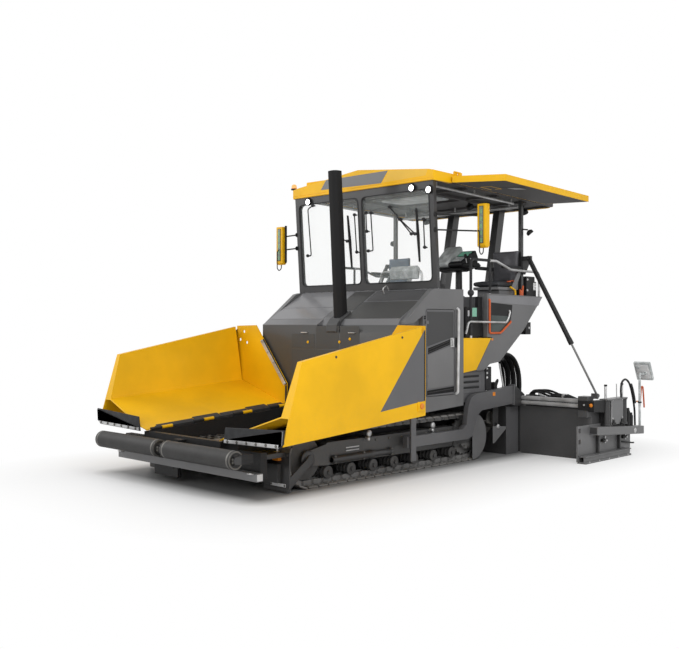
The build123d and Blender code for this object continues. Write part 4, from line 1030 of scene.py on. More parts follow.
faces.put("hoodFrontPanels", frontPaint, 0.002, slot="frame_dark")
dots = [((x, front - 0.003, z), forward) for x, z in ((-0.289, 1.532), (0.282, 1.54), (0.462, 1.579))]
bolts("hoodYellowPlugs", dots, yellowPaint, 0.014)
pulls = Shape()
for x in (-0.35, 0.5):
    pulls.tube([(x - 0.05, front - 0.003, 1.655), (x - 0.05, front - 0.022, 1.655), (x + 0.05, front - 0.022, 1.655),
        (x + 0.05, front - 0.003, 1.655)], 0.006, 0.01, 8)
pulls.put("hoodPulls", zincMetal)
collar = Shape()
collar.skin([[collar.vert((0.148 + x, y, z)) for x, y, z in ring]
    for ring in ([(-0.105, -0.66, 1.784), (0.105, -0.66, 1.784), (0.105, -0.45, 1.909), (-0.105, -0.45, 1.909)],
    [(-0.093, -0.645, 1.828), (0.093, -0.645, 1.828), (0.093, -0.463, 1.936), (-0.093, -0.463, 1.936)])])
collar.slab([(-0.698, 1.655), (-0.712, 1.668), (-0.706, 1.76), (-0.64, 1.838), (-0.575, 1.845), (-0.577, 1.826)], "X",
    0.055, 0.24)
collar.put("stackCollar", darkPaint, 0.006)
Shape().tube([onHood(0.46, 0.75, 0), onHood(0.46, 0.75, 0.085), onHood(0.46, 0.845, 0.085), onHood(0.46, 0.845, 0)],
    0.007, 0.03, 8).put("hoodHandle", zincMetal)
print("hood done")

# service doors with their chain trim, grab bars
door = {"x": 1.25}
for side, name in mirrored():
    body = "service_door_" + name
    x = door["x"]
    mesh = Shape()
    for outline in ([(-0.15, 1.398), (-0.15, 1.468), (0.285, 1.572), (0.3, 1.512)],
            [(-0.17, 0.9), (-0.17, 0.955), (0.362, 0.985), (0.362, 0.915)]):
        mesh.slab(outline, "X", x - 0.001, x + 0.0015)
    mesh.put("doorMesh", stackPaint, body=body)
    studs = [((x + 0.0015, -0.14 + 0.0205 * k, 1.434 + 0.0052 * k + dz), outward) for k in range(21)
        for dz in (-0.016, 0.016)]
    studs += [((x + 0.0015, -0.155 + 0.0205 * k, 0.928 + 0.0012 * k), outward) for k in range(25)]
    place("doorMeshHoles_" + name, spotMesh(studs, boltItem(1.0, 0.3), linerPaint, 0.006), linerPaint, body=body)
    # The door's upper panel is painted dark and its lower leaf a lighter grey, one body grey in two tones: painted
    # shade above, painted bounce light from the floor below.
    Shape().slab([(-0.165, 1.49), (-0.165, 1.915), (0.352, 1.915), (0.352, 1.6), (0.29, 1.59)], "X", x - 0.001,
        x + 0.003).put("doorUpper", darkPaint, 0.003, body, slot="body_grey")
    Shape().slab([(-0.165, 0.975), (-0.165, 1.382), (0.3, 1.49), (0.352, 1.44), (0.352, 1.0)], "X", x - 0.001,
        x + 0.003).put("doorLeaf", packPaint, 0.003, body)
    Shape().box((x - 0.001, 0.285, 1.475), (x + 0.01, 0.355, 1.59)).tube(
        [(x + 0.008, 0.3, 1.5), (x + 0.034, 0.3, 1.5), (x + 0.034, 0.3, 1.572), (x + 0.008, 0.3, 1.572)], 0.008,
        0.012, 10).put("doorLatch", zincMetal, 0.003, body)
    heights = [0.8 + 0.024 * k for k in range(45)]
    chain = [((1.2505, -0.214, z), outward) for z in heights if not (1.05 < z < 1.15 or 1.71 < z < 1.81)]
    place("doorEdgeChain_" + name, spotMesh(chain, boltItem(1.0, 0.8), blackPaint, 0.011), blackPaint)
    offset = 1.278
    Shape().tube([(1.2495, 0.428, 1.96), (offset, 0.428, 1.94), (offset, 0.413, 1.256), (offset, 0.404, 0.905),
        (1.2495, 0.404, 0.89)], 0.018, 0.05, 12).put("grabBar", brightMetal)
    Shape().box((1.2495, 0.392, 1.47), (1.268, 0.452, 1.592)).put("latchKeep", blackPaint, 0.004)
print("doors done")

# front end: roller ends, bumper, guards
front = {"bumper": -2.8803, "guard": -2.44, "roller": (-3.119, 0.42)}
for side, name in mirrored():
    body = "push_roller_" + name
    ends = Shape()
    for x, way in ((0.062, -1), (1.236, 1)):
        ends.lathe([(-0.004, 0.0935), (0.0015, 0.0925), (0.002, 0.078), (-0.001, 0.076)], (x, *front["roller"]),
            (way, 0, 0), 40).lathe([(-0.002, 0.052), (0.003, 0.05), (0.0035, 0.03)], (x, *front["roller"]),
            (way, 0, 0), 28)
    for x in (0.1, 1.2):
        ends.lathe(mirrorProfile((-0.012, 0.0945), (-0.01, 0.0955)), (x, *front["roller"]), outward, 40)
    ends.put("rollerEnds", wornSteel, body=body, slot="cast_parts")
brackets = Shape()
for x1, x2 in ((-1.2725, -1.2395), (1.2395, 1.2725), (-0.0585, 0.0585)):
    brackets.slab([(-3.075, 0.372), (-3.16, 0.384), (-3.172, 0.42), (-3.16, 0.456), (-3.075, 0.468)], "X", x1, x2)
brackets.put("rollerBrackets", darkPaint, 0.004, "push_beam")
spots = [((x, front["roller"][0] - 0.054, z), forward) for x in (-1.256, -0.025, 0.025, 1.256)
    for z in (0.405, 0.435)]
spots += [((0, -2.985, 0.4655), upward), ((-0.03, -3.01, 0.4655), upward), ((0.03, -3.01, 0.4655), upward)]
bolts("pushBeamBolts", spots, wornSteel, 0.011, "push_beam")
ends = Shape()
for side, name in mirrored():
    ends.box((1.2715, front["bumper"] + 0.003, 0.186), (1.2745, front["bumper"] + 0.077, 0.254)).tube(
        [(1.17, front["bumper"] + 0.002, 0.252), (1.17, front["bumper"] - 0.045, 0.262),
        (1.215, front["bumper"] - 0.045, 0.262), (1.215, front["bumper"] + 0.002, 0.252)], 0.009, 0.02, 10)
ends.put("bumperEnds", zincMetal, 0.002)
Shape().box((-0.571, front["bumper"] + 0.0335, 0.059), (-0.119, front["bumper"] + 0.0765, 0.178)).box(
    (-0.5, front["bumper"] + 0.028, 0.15), (-0.19, front["bumper"] + 0.034, 0.182)).put(
    "underBracket", blackPaint, 0.006)
for side, name in mirrored():
    y = front["guard"]
    arc = [(0.83 + 0.303 * math.cos(turn), 0.312 + 0.303 * math.sin(turn))
        for turn in (math.radians(-89.5 + 179 * k / 24) for k in range(25))]
    Shape().slab(arc, "X", 1.1885, 1.1915).put("guardDisc", framePaint, 0.001)  # cover disc behind the sprocket
    Shape().box((0.895, y + 0.001, 0.105), (1.14, y - 0.045, 0.305)).box(
        (0.868, y + 0.001, 0.02), (1.262, y - 0.006, 0.06)).put("guardBox", frontPaint, 0.006, slot="frame_dark")
    Shape().box((0.975, y + 0.001, 0.066), (1.215, y - 0.004, 0.1)).put("guardPlate", brightMetal, 0.002)
    Shape().box((1.045, y + 0.001, 0.338), (1.145, y - 0.04, 0.384)).put("guardReflector", reflectorFinish, 0.003)
    Shape().box((1.06, y + 0.001, 0.395), (1.12, y - 0.036, 0.432)).rod(
        (1.09, y - 0.008, 0.424), (1.09, y - 0.008, 0.47), 0.012).put("guardPale", zincMetal, 0.003)
    bolts("guardBolts", lineSpots((0.9, y, 0.4), (1.24, y, 0.4), 4, forward)
        + lineSpots((0.99, y - 0.004, 0.083), (1.2, y - 0.004, 0.083), 2, forward), wornSteel, 0.01)
print("front end done")

# entry: rails, lit panel, reflectors, boxes
for side, name in mirrored():
    x = 1.262
    Shape().tube([(1.236, 0.629, 1.64), (1.25, 0.634, 1.69), (x, 0.656, 1.794), (x, 1.498, 1.786), (x, 1.555, 1.862),
        (x, 1.58, 1.923), (1.249, 1.582, 1.945)], 0.0135, 0.04, 10).put("entryRail", zincMetal)
    Shape().slab([(1.158, 2.048), (1.654, 2.021), (1.639, 1.921), (1.602, 1.789), (1.364, 1.627), (1.151, 1.629)],
        "X", 1.249, 1.2508).put("entryRecess", blackPaint)
    Shape().slab([(1.166, 1.88), (1.596, 1.868), (1.578, 1.789), (1.356, 1.637), (1.16, 1.637)], "X", 1.25,
        1.2514).put("entryPlate", recessPaint)
    Shape().slab([(1.112, 2.142), (2.385, 2.138), (2.293, 2.019), (1.146, 2.052)], "X", 1.249, 1.2512).put(
        "consoleBand", lightPaint, 0.001)
    Shape().tube([(1.249, 1.113, 2.09), (x, 1.113, 2.075), (x, 1.113, 1.646), (x, 1.363, 1.645), (x, 1.597, 1.791),
        (1.249, 1.61, 1.8)], 0.0135, 0.03, 10).put("entryRailOrange", orangePaint)
    Shape().box((1.15, 0.7, 1.585), (1.178, 0.98, 1.985)).box((1.12, 0.98, 1.6), (1.178, 1.06, 2.12)).put(
        "entryBox", blackPaint, 0.006)
    Shape().box((1.177, 0.745, 1.865), (1.183, 0.785, 1.94)).put("entryLamp", brightMetal, 0.003, slot="box_plastic")
    Shape().tube([(1.232, 0.74, 1.615), (1.232, 0.74, 2.6), (1.232, 1.15, 2.6)], 0.0187, 0.06, 12).rod(
        (1.232, 1.16, 2.168), (1.232, 1.16, 2.58), 0.0165, 12).ball((1.232, 0.74, 2.165), 0.048, (0.8, 1, 0.9)).put(
        "railSleeve", gripRubber, slot="flap_rubber")
    grooves = Shape()
    for z in (0.925, 0.997, 1.069):
        patch(grooves, "lower_body", [(2, at, z + rise) for at, rise in ((0.604, 0.004), (0.981, 0.004),
            (0.981, 0.03), (0.604, 0.03))], inward, 0.001)
    grooves.put("bodyGrooves", blackPaint)
    Shape().box((1.12, 1.107, 0.89), (1.203, 1.235, 1.2)).box((1.06, 2.117, 1.619), (1.16, 2.246, 1.79)).rod(
        (1.11, 2.02, 1.72), (1.11, 2.12, 1.72), 0.014, 12).put("rearBoxes", blackPaint, 0.006)
    spots = [((1.203, 1.135, z), outward) for z in (1.06, 1.12, 1.18)] + [((1.16, 2.2, 1.71), outward)]
    bolts("rearBoxBolts", spots, brightMetal, 0.012)
    Shape().box((1.177, 0.795, 1.86), (1.181, 0.94, 1.975)).put("entryPanel", panelGlow, 0.002)
    Shape().box((1.269, 1.17, 0.82), (1.2745, 1.224, 0.868)).put("armReflector", reflectorFinish, 0.002, "screed")
    Shape().box((1.249, 1.172, 1.548), (1.2535, 1.206, 1.575)).put("panelReflector", reflectorFinish, 0.001)
print("entry done")

# seats: padded pan and back, shell, arms, belt
seat = {"spread": 0.975}


def cushion(name, first, second, crown, axis, finish, lines=()):  # closed pad, thick along axis, lines its channels
    shape = Shape()
    low, high = shape.span(first, second)
    bmesh.ops.create_cube(shape.bm, size=2)
    bmesh.ops.subdivide_edges(shape.bm, edges=shape.bm.edges, cuts=15, use_grid_fill=True)
    thick = "XYZ".index(axis)
    flats = [i for i in range(3) if i != thick]
    half = (high - low) / 2
    for vert in shape.bm.verts:
        u, v, w = (vert.co[i] for i in (*flats, thick))
        bulge = (1 - u ** 4) * (1 - v ** 4)
        rim = max(abs(u), abs(v))
        channel = 0.1 * crown / max(half[thick], 0.001) * math.exp(-((abs(u) - 0.62) / 0.045) ** 2) * (1 - v ** 8)
        for line in lines:
            channel += 0.35 * crown / half[thick] * math.exp(-((v - line) / 0.05) ** 2) * (1 - u ** 8)
        share = 1 - crown / half[thick] * (1 - bulge) - channel
        pull = 1 - 0.045 * (1 - abs(w)) * (1 - min(abs(u), abs(v)) ** 2)
        roundOff = 1 - 0.1 * rim ** 10 * abs(w) ** 3
        spot = Vector((0, 0, 0))
        spot[flats[0]] = u * half[flats[0]] * (pull * roundOff if abs(u) > 0.99 else 1)
        spot[flats[1]] = v * half[flats[1]] * (pull * roundOff if abs(v) > 0.99 else 1)
        spot[thick] = w * half[thick] * share
        vert.co = (low + high) / 2 + spot
    piece = place(name, shape, finish, "seat_vinyl", "tractor", 0, 80)
    smoother = piece.modifiers.new("soft", "SUBSURF")
    smoother.levels = smoother.render_levels = 1
    return piece


seatBlue = vinylFinish("seatBlue", (84, 100, 118))
for side, name in mirrored():
    finish = seatVinyl if side > 0 else seatBlue
    x = seat["spread"]
    pan = cushion("seatPan_" + name, (x - 0.205, 1.415, 2.262), (x + 0.205, 1.835, 2.352), 0.018, "Z", finish)
    back = cushion("seatBack_" + name, (x - 0.205, 1.862, 2.345), (x + 0.205, 1.942, 2.775), 0.016, "Y",
        seatCloth if side > 0 else seatBlue, (-0.52, 0, 0.52))
    for piece in (pan, back):
        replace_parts(piece, "seats")
    near, far = x - 0.202 * side, x + 0.202 * side
    for label, ring in (("pan", [(at, y, 2.306) for at, y in rectangle(near, far, 1.425, 1.828)]),
            ("back", [(at, 1.902, z) for at, z in rectangle(near, far, 2.355, 2.765)])):
        Shape().tube(ring, 0.006, 0.05, 8, True).put(f"{label}Welt", seatVinyl)  # along the cushion's seam
    shell = Shape().box((x - 0.205, 1.42, 2.226), (x + 0.205, 1.86, 2.266)).slab(
        [(1.8, 2.23), (1.8, 2.27), (1.925, 2.3), (1.945, 2.768), (1.957, 2.765), (1.955, 2.255), (1.93, 2.23)], "X",
        x - 0.17, x + 0.17)
    for way in (-1, 1):
        shell.slab([(1.62, 2.235), (1.7, 2.245), (1.9, 2.52), (1.935, 2.52), (1.935, 2.44), (1.8, 2.235)], "X",
            x + way * 0.208, x + way * 0.222)
    shell.put("seatShell", boxPlastic if side < 0 else packPaint, 0.006, slot="box_plastic")
    Shape().slab([(1.15, 2.702), (1.302, 2.705), (1.302, 2.64), (1.216, 2.45), (1.165, 2.45)], "Y", 2.0155, 2.026).put(
        "strutEar", packPaint, 0.002, slot="frame_dark")
    arms = Shape()
    for way in (-1, 1):
        arms.slab([(1.5, 2.515), (1.49, 2.535), (1.51, 2.56), (1.93, 2.56), (1.945, 2.53), (1.93, 2.51)], "X",
            x + way * 0.195, x + way * 0.245)
    arms.put("seatArms", gripRubber, 0.012, slot="seat_vinyl")
    Shape().tube([(x + 0.2, 1.8, 2.335), (x + 0.235, 1.74, 2.36), (x + 0.215, 1.66, 2.345)], 0.012, 0.04, 8,
        flat=0.3).box((x + 0.195, 1.64, 2.335), (x + 0.235, 1.68, 2.35)).put(
        "seatBelt", orangePaint, 0.002, slot="seat_vinyl")
print("seats done")

# control console: light cover, keypad, levers
console = {"post": (0.42, 1.56), "low": 2.14}
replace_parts(Shape().lathe([(0.0003, 0.085), (0.012, 0.085), (0.03, 0.05), (0.4, 0.046), (0.455, 0.06)],
    (*console["post"], console["low"]), upward, 24).put("consolePost", darkPaint), "control_console")
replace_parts(Shape().slab([(1.3, 2.56), (1.29, 2.62), (1.56, 2.85), (1.64, 2.87), (1.698, 2.7), (1.68, 2.59),
    (1.4, 2.545)], "X", 0.182, 0.425).put("consoleCover", boxPlastic, 0.03), "control_console")
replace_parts(Shape().slab([(1.302, 2.56), (1.292, 2.6), (1.64, 2.798), (1.698, 2.7), (1.68, 2.59), (1.4, 2.545)], "X",
    0.425, 0.658).slab([(1.33, 2.54), (1.322, 2.598), (1.44, 2.606), (1.5, 2.56), (1.44, 2.536)], "X", 0.64,
    0.858).put("consoleKeypad", blackPaint, 0.016, slot="box_plastic"), "control_console")
slope = math.atan2(0.198, 0.348)


def onConsole(x, along, lift=0):
    return (x, 1.292 + along * math.cos(slope) - lift * math.sin(slope),
        2.6 + along * math.sin(slope) + lift * math.cos(slope))


pads, keys, screens = Shape(), Shape(), Shape()
for shape, x1, x2, a1, a2, lift in ((pads, 0.445, 0.64, 0.05, 0.2, 0.004),
        (screens, 0.46, 0.625, 0.225, 0.345, 0.01)):
    shape.skin([[shape.vert(onConsole(x, a, at)) for x, a in rectangle(x1, x2, a1, a2)] for at in (-0.002, lift)])
pads.put("consolePads", gripRubber, 0.001)
screens.put("consoleScreen", panelGlow, 0.002)
key = Shape().slab([(-0.011, 0), (-0.009, 0.005), (0.009, 0.005), (0.011, 0)], "X", -0.011, 0.011)
keyMesh = key.mesh("key")
keySpots = [(onConsole(0.467 + 0.028 * i, 0.075 + 0.034 * k, 0.004), (0, -math.sin(slope), math.cos(slope)))
    for i in range(6) for k in range(4)]
place("consoleKeys", spotMesh(keySpots, keyMesh, boxPlastic, 1.0), boxPlastic)
sticks, knobs = Shape(), Shape()
for x, at in ((0.7, 1.37), (0.78, 1.37)):
    sticks.rod((x, at, 2.598), (x - 0.005, at - 0.02, 2.675), 0.006, 8)
    knobs.lathe([(0, 0.012), (0.02, 0.019), (0.045, 0.021), (0.06, 0.012)], (x - 0.005, at - 0.02, 2.668),
        (0, -0.2, 1), 16)
sticks.put("consoleSticks", zincMetal)
knobs.put("consoleKnobs", gripRubber)
Shape().slab([(1.33, 2.505), (1.36, 2.552), (1.66, 2.592), (1.67, 2.545), (1.5, 2.49)], "X", 0.21, 0.63).put(
    "consoleBelly", blackPaint, 0.02, slot="box_plastic")
# handrail and instruments in front of the operator, seen through the right pane
rail = Shape().tube([(-0.1, 0.5, 1.582), (-0.1, 0.5, 2.47), (0.62, 0.5, 2.47), (0.62, 0.5, 1.582)], 0.017, 0.08, 12)
for x in (-0.1, 0.62):
    rail.lathe([(0.0003, 0.05), (0.012, 0.05), (0.016, 0.02)], (x, 0.5, 1.58), upward, 20)
rail.put("deckRail", zincMetal)
Shape().slab([(0.455, 2.36), (0.43, 2.48), (0.49, 2.54), (0.545, 2.5), (0.52, 2.36)], "X", 0.1, 0.56).put(
    "deckPanel", boxPlastic, 0.012)
print("console done")

# rear corner of the platform: switch box, levers, lamp on the post
for side, name in mirrored():
    knobs = Shape()
    Shape().box((1.03, 2.085, 2.1403), (1.192, 2.3, 2.43)).box((1.03, 2.3, 2.1403), (1.192, 2.34, 2.36)).box(
        (0.86, 2.24, 2.1403), (0.98, 2.34, 2.25)).put("cornerBox", blackPaint, 0.01, slot="box_plastic")
    for spot in ((1.195, 2.105, 2.385), (1.195, 2.1, 2.235), (1.196, 2.3, 2.29)):
        knobs.ball(spot, 0.016)
    knobs.box((1.19, 2.255, 2.24), (1.197, 2.33, 2.345))
    knobs.put("cornerKnobs", brightMetal, 0.002, slot="box_plastic")
    Shape().tube([(1.2, 1.8, 2.15), (1.2, 1.8, 2.225), (1.2, 1.68, 2.268)], 0.012, 0.02, 8).put(
        "yellowLever", yellowPaint)
    Shape().slab([(1.905, 2.15), (1.9, 2.245), (1.93, 2.225), (1.955, 2.235), (1.975, 2.3), (1.99, 2.285),
        (1.975, 2.15)], "X", 1.195, 1.215).put("orangeTab", orangePaint, 0.003)
    Shape().lathe([(0, 0.02), (0.02, 0.048), (0.055, 0.05), (0.06, 0.044)], (1.235, 2.06, 3.06), (0.5, 0.4, -0.75),
        20).rod((1.17, 2.03, 3.08), (1.235, 2.06, 3.07), 0.01).put("postLamp", blackPaint, slot="box_plastic")
print("platform done")

# screed hoses: bundles that bend between the tractor and the screed
hoses = {"places": (0.752, 0.798, 0.844, 0.89, 0.936, 0.982, 1.028), "radius": 0.0222, "foot": 0.716}
random.seed(11)
for k, x in enumerate(hoses["places"]):
    rise = 0.016 * (k % 2)
    drift = random.uniform(-0.004, 0.004)
    route = [(x, 1.4, 1.33 + rise), (x, 1.55, 1.345 + rise), (x + drift, 1.76, 1.365 + rise),
        (x - drift, 1.96, 1.335 + rise), (x, 2.1 + rise, 1.22), (x + drift, 2.18 + rise, 1.04),
        (x, 2.18 + rise, 0.85), (x, 2.15 + rise, hoses["foot"])]
    curve = bpy.data.curves.new("hose", "CURVE")
    curve.dimensions = "3D"
    line = curve.splines.new("NURBS")
    line.points.add(len(route) - 1)
    for point, spot in zip(line.points, route):
        point.co = (*spot, 1)
    line.order_u, line.use_endpoint_u, line.resolution_u = 4, True, 8
    curve.bevel_depth = hoses["radius"]
    curve.bevel_resolution = 3
    curve.use_fill_caps = True
    holder = bpy.data.objects.new("hose", curve)
    scene.collection.objects.link(holder)
    mesh = bpy.data.meshes.new_from_object(holder.evaluated_get(bpy.context.evaluated_depsgraph_get()))
    bpy.data.objects.remove(holder)
    piece = place(f"screedHose_{k}", mesh, hoseRubber, body=None)
    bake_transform(piece)
    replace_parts(piece, "screed_hoses")
foot = Shape().box((0.725, 2.11, 0.7155), (1.065, 2.22, 0.738))
for x in hoses["places"]:
    foot.lathe([(0, 0.026), (0.045, 0.026), (0.055, 0.022)], (x, 2.15 + 0.0125, 0.735), upward, 6)
foot.put("hoseFittings", zincMetal, 0.002, "screed")
Shape().box((0.715, 1.61, 1.265), (1.075, 1.72, 1.4)).put("hoseManifold", blackPaint, 0.008)
for side, name in mirrored():  # inclined link from the platform to the tow arm
    Shape().rod((1.215, 1.399, 1.235), (1.215, 1.49, 0.925), 0.011, 12).put("armLink", zincMetal, body=None)
    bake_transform(scene.objects["armLink_" + name])
    Shape().box((1.14, 1.31, 0.88), (1.2, 1.375, 0.99)).tube([(1.17, 1.36, 0.96), (1.17, 1.42, 1.02),
        (1.12, 1.5, 1.0), (1.05, 1.56, 0.92)], 0.014, 0.05, 10).put("armFork", blackPaint, 0.004, "screed")
tread = Shape()  # checker plate on the screed's walkway
for turn, across in ((math.radians(45), -0.014), (math.radians(-45), 0.014)):
    c, s = math.cos(turn), math.sin(turn)
    tread.slab([(across + x * c - y * s, x * s + y * c) for x, y in ((0.016, 0), (0, 0.004), (-0.016, 0),
        (0, -0.004))], "Z", -0.001, 0.0025)
treadMesh = tread.mesh("tread")
spots = [((-1.113 + 0.053 * i, 2.09 + 0.04 * k, 0.715), upward) for i in range(43) for k in range(7)]
spots = [(spot, up) for spot, up in spots if not (0.69 < spot[0] < 1.1 and spot[1] < 2.245)]
place("walkwayTread", spotMesh(spots, treadMesh, darkPaint, 1.0), darkPaint, body="screed")
print("hoses done")

# augers: helical flights on their shafts
auger = {"y": 1.372, "z": 0.42, "low": 0.1, "high": 1.145, "shaft": 0.045, "edge": 0.169, "pitch": 0.3, "steps": 32}
for side, name in mirrored():
    screw = Shape().rod((0.09, auger["y"], auger["z"]), (1.15, auger["y"], auger["z"]), auger["shaft"], 24)
    count = int((auger["high"] - auger["low"]) / auger["pitch"] * auger["steps"])
    rings = []
    for i in range(count + 1):
        x = auger["low"] + (auger["high"] - auger["low"] - 0.012) * i / count
        a = 2 * math.pi * i / auger["steps"]
        rings.append([screw.vert((x + dx, auger["y"] + r * math.cos(a), auger["z"] + r * side * math.sin(a)))
            for dx, r in ((0, 0.04), (0, auger["edge"]), (0.012, auger["edge"]), (0.012, 0.04))])
    screw.skin(rings)
    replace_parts(screw.put("augerScrew", wornSteel, body="auger_" + name, slot="cast_parts", smooth=50),
        "auger_" + name)
    Shape().slab([(1.262, 0.41), (1.262, 0.18), (1.3, 0.185), (1.56, 0.35), (1.56, 0.385)], "X", 1.202, 1.21).put(
        "augerDeflector", packPaint, 0.002, slot="frame_dark")
    Shape().lathe([(0, 0.03), (0.012, 0.028), (0.02, 0.014), (0.03, 0.012)], (1.209, 1.372, 0.398), outward, 20).put(
        "augerFitting", zincMetal)
print("augers done")

# screed details: side plate, lining and hoses behind the guide tubes, strut collar
for side, name in mirrored():
    body = "screed_extension_" + name
    Shape().box((1.1905, 1.592, 0.004), (1.1945, 1.876, 0.64)).put("screedSide", greyPaint, 0.001, "screed")
    Shape().box((1.17, 1.893, 0.01), (1.214, 1.99, 0.64)).box((1.3, 1.901, 0.64), (2.169, 1.912, 0.684)).slab(
        [(1.3, 0.722), (1.3, 0.8), (1.42, 0.815), (1.56, 0.795), (1.9, 0.77), (2.169, 0.745), (2.169, 0.722)], "Y",
        1.901, 1.912).box((1.3, 1.912, 0.722), (1.4, 2.06, 0.76)).put("screedLining", darkPaint, 0.002, body)
    bundle = Shape()
    for k in range(4):
        at, rise = 1.935 + 0.034 * k, 0.018 * (k % 2)
        bundle.tube([(1.33, at, 0.74), (1.36, at, 0.835 + rise), (1.5 + 0.03 * k, at, 0.85 + rise),
            (1.64 + 0.04 * k, at, 0.792 + rise), (1.86, at, 0.8 + rise), (2.08, at, 0.745), (2.2, at, 0.7)], 0.0155,
            0.12, 10)
    bundle.put("screedBundle", hoseRubber, body=body)
    clips = Shape()
    for x in (1.5, 1.86):
        clips.box((x - 0.012, 1.912, 0.724), (x + 0.012, 2.056, 0.83))
    clips.put("bundleClips", zincMetal, 0.003, body)
    along = Vector((0.49191, 0, -0.87065))
    Shape().lathe([(1.255, 0.0322), (1.262, 0.035), (1.338, 0.035), (1.345, 0.0322), (1.345, 0.0185),
        (1.255, 0.0185)], (1.3, 1.975, 2.67), along, 24, True).put("strutCollar", blackPaint,
        body="strut_tube_" + name)
print("screed details done")

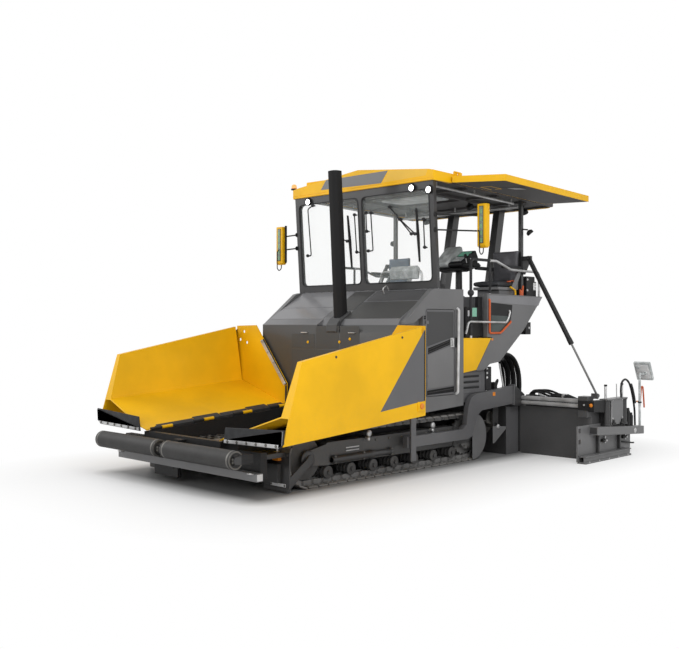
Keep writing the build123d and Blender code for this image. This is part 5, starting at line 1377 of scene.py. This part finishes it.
# end gates: slotted plate, hollow rail, beam, lifting cylinders, hoses, handle
gate = {"plate": (2.3005, 2.32), "lifts": ((2.12, 2.12), (2.575, 2.56))}  # lifts: (cylinder, threaded stem)
for side, name in mirrored():
    body = "screed_extension_" + name
    plate, rail, beam, pack, dark, bright, black, lamp, handle = (Shape() for part in range(9))
    plate.cells("X", [1.51, 1.532, 1.588, 2.9], [0.02, 0.24, 0.3, 0.38, 0.44, 0.47], {(1, 1), (1, 3)},
        gate["plate"][0], gate["plate"][1])
    for z in (0.012, 0.083):
        rail.box((2.3205, 1.523, z), (2.425, 2.728, z + 0.012))
    rail.box((2.3205, 1.523, 0.012), (2.33, 2.728, 0.095)).box((2.395, 1.523, 0.022), (2.405, 2.728, 0.086)).slab(
        [(1.52, 0.01), (1.535, 0), (2.73, 0), (2.73, 0.013), (1.52, 0.013)], "X", 2.3005, 2.425)
    beam.slab([(1.792, 0.452), (3.058, 0.371), (3.058, 0.263), (1.792, 0.346)], "X", 2.3205, 2.4445)
    dark.slab([(1.7905, 0.44), (1.795, 0.44), (1.795, 0.358), (1.7905, 0.358)], "X", 2.333, 2.432)
    for y in (1.98, 2.548):
        dark.box((2.3205, y - 0.018, 0.096), (2.362, y + 0.018, 0.346))
    pack.box((2.412, 2.19, 0.448), (2.426, 2.5, 0.786)).box((2.3105, 2.075, 0.774), (2.44, 2.6, 0.789))
    bright.box((2.4115, 2.182, 0.446), (2.4275, 2.191, 0.787))
    black.box((2.3105, 2.085, 0.43), (2.35, 2.59, 0.775))
    threads = [(0.004 + 0.006 * k, 0.017 if k % 2 else 0.015) for k in range(28)]
    for y, stem in gate["lifts"]:
        dark.lathe([(0, 0.052), (0.03, 0.052), (0.034, 0.043), (0.325, 0.043), (0.33, 0.05), (0.345, 0.05)],
            (2.389, y, 0.43), upward, 28)
        bright.lathe([(0, 0.016), *threads, (0.174, 0.016)], (2.375, stem, 0.785), upward, 20)
        black.lathe([(0, 0.018), (0.002, 0.023), (0.02, 0.023), (0.023, 0.017)], (2.375, stem, 0.952), upward, 6)
    bright.rod((2.375, 2.418, 0.785), (2.375, 2.412, 0.972), 0.006, 10)
    for y in (2.23, 2.46):
        black.box((2.4265, y - 0.046, 0.45), (2.4445, y + 0.046, 0.474)).box(
            (2.4265, y - 0.02, 0.472), (2.44, y + 0.02, 0.512))
    for y in (2.15, 2.7):  # turnbuckles between the beam and the rail
        black.box((2.3205, y - 0.055, 0.225), (2.352, y + 0.055, 0.262))
        bright.rod((2.345, y + 0.005, 0.244), (2.378, y + 0.005, 0.244), 0.015, 16).rod(
            (2.338, y + 0.03, 0.205), (2.338, y + 0.03, 0.3), 0.009, 12)
    black.tube([(2.332, 2.62, 0.185), (2.345, 2.66, 0.178), (2.345, 2.92, 0.142), (2.335, 2.97, 0.139)], 0.011, 0.02,
        10).lathe([(0, 0.034), (0.22, 0.034), (0.23, 0.026), (0.262, 0.024)], (2.385, 2.7, 0.372), upward,
        24).lathe([(0, 0.026), (0.16, 0.026), (0.17, 0.018), (0.2, 0.016)], (2.385, 2.8, 0.366), upward, 20)
    loop = [(2.385, 2.522, 0.784), (2.385, 2.51, 0.9), (2.385, 2.54, 0.995), (2.385, 2.635, 1.03),
        (2.385, 2.735, 0.985), (2.385, 2.805, 0.88), (2.385, 2.86, 0.74), (2.388, 2.895, 0.6), (2.388, 2.905, 0.386)]
    black.tube(loop, 0.0135, 0.09, 12).tube([(2.4, 2.76, 0.952), (2.402, 2.8, 0.88), (2.402, 2.845, 0.77),
        (2.4, 2.87, 0.69)], 0.021, 0.05, 12)
    lamp.box((2.4085, 2.905, 0.7), (2.418, 2.925, 0.722))
    black.rod((2.39, 2.868, 0.711), (2.413, 2.916, 0.711), 0.005, 8).rod(
        (2.413, 2.916, 0.711), (2.4, 3.0, 0.711), 0.005, 8)
    bright.lathe([(0, 0.034), (0.004, 0.034), (0.006, 0.022), (0.012, 0.02)], (2.4425, 2.8, 0.33), outward, 24)
    for x in (2.352, 2.412):
        bright.slab([(2.94, 0.3), (2.94, 0.352), (3.057, 0.35), (3.057, 0.282)], "X", x, x + 0.004)
    # bracket towards the strut's foot, with its marker lamp and bolt
    black.box((2.165, 1.782, 0.652), (2.309, 1.792, 0.775)).slab(
        [(1.792, 0.64), (1.782, 0.65), (1.782, 0.768), (1.792, 0.778), (2.074, 0.778), (2.074, 0.615)], "X", 2.3105,
        2.395)
    lamp.lathe([(0, 0.024), (0.01, 0.023), (0.016, 0.015), (0.018, 0.004)], (2.355, 1.783, 0.722), forward, 20)
    bright.lathe([(0, 0.015), (0.004, 0.014), (0.012, 0.012), (0.013, 0.006)], (2.255, 1.783, 0.722), forward, 6)
    handle.tube([(2.4, 3.034, 0.69), (2.4, 3.052, 0.8), (2.4, 3.07, 0.903), (2.4, 3.112, 0.903), (2.4, 3.135, 0.76),
        (2.4, 3.152, 0.612)], 0.0105, 0.022, 10)
    black.box((2.38, 3.004, 0.68), (2.42, 3.04, 0.702))
    for key, shape, finish, bevel in (("plate", plate, packPaint, 0), ("rail", rail, packPaint, 0.002),
            ("beam", beam, packPaint, 0.005), ("pack", pack, packPaint, 0.003), ("dark", dark, darkPaint, 0.003),
            ("bright", bright, zincMetal, 0), ("black", black, blackPaint, 0.003), ("lamp", lamp, reflectorFinish, 0),
            ("handle", handle, orangePaint, 0)):
        item = place(f"gate_{key}_{name}", shape, finish, None, body, bevel)
        if key in ("plate", "beam", "pack"):
            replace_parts(item, "end_gate_" + name)
    spots = lineSpots((2.425, 1.62, 0.018), (2.425, 2.63, 0.018), 5, outward)
    spots += [((2.4265, y, z), outward) for y in (2.215, 2.475) for z in (0.53, 0.765)]
    bolts("gateBolts", spots, zincMetal, 0.009, body)
    # control panel: stalk, case, back plate and keys
    dress("control_panel_" + name, boxPlastic, 0.005)
    down = Vector((0, 0.116, -0.238)).normalized()
    out = Vector((0, 0.898, 0.44))
    top = Vector((0, 3.062, 1.228))
    backs, keys = Shape(), Shape()
    for shape, x1, x2, a1, a2, base, lift in ((backs, 2.312, 2.488, 0.03, 0.235, 0.002, -0.009),
            (keys, 2.305, 2.495, 0.025, 0.24, 0.039, 0.043)):
        rings = [[shape.vert(top + down * a + out * level + Vector((x, 0, 0))) for x, a in rectangle(x1, x2, a1, a2)]
            for level in (base, lift)]
        shape.skin(rings)
    backs.put("panelBack", panelPaint, 0.002, body)
    studs = Shape()
    for x, a, depth, radius in ((2.345, 0.06, 0.03, 0.02), (2.43, 0.15, 0.022, 0.026)):
        studs.rod(*(top + down * a - out * level + Vector((x, 0, 0)) for level in (0.004, depth)), radius, 14)
    studs.put("panelStuds", boxPlastic, 0.002, body)
    keys.put("panelPad", gripRubber, 0.001, body)
    spots = [(top + down * (0.05 + 0.045 * k) + out * 0.043 + Vector((2.335 + 0.043 * i, 0, 0)), tuple(out))
        for i in range(4) for k in range(5)]
    place("panelKeys_" + name, spotMesh(spots, boltItem(1.0, 0.35), zincMetal, 0.011), zincMetal, "box_plastic", body)
print("end gates done")
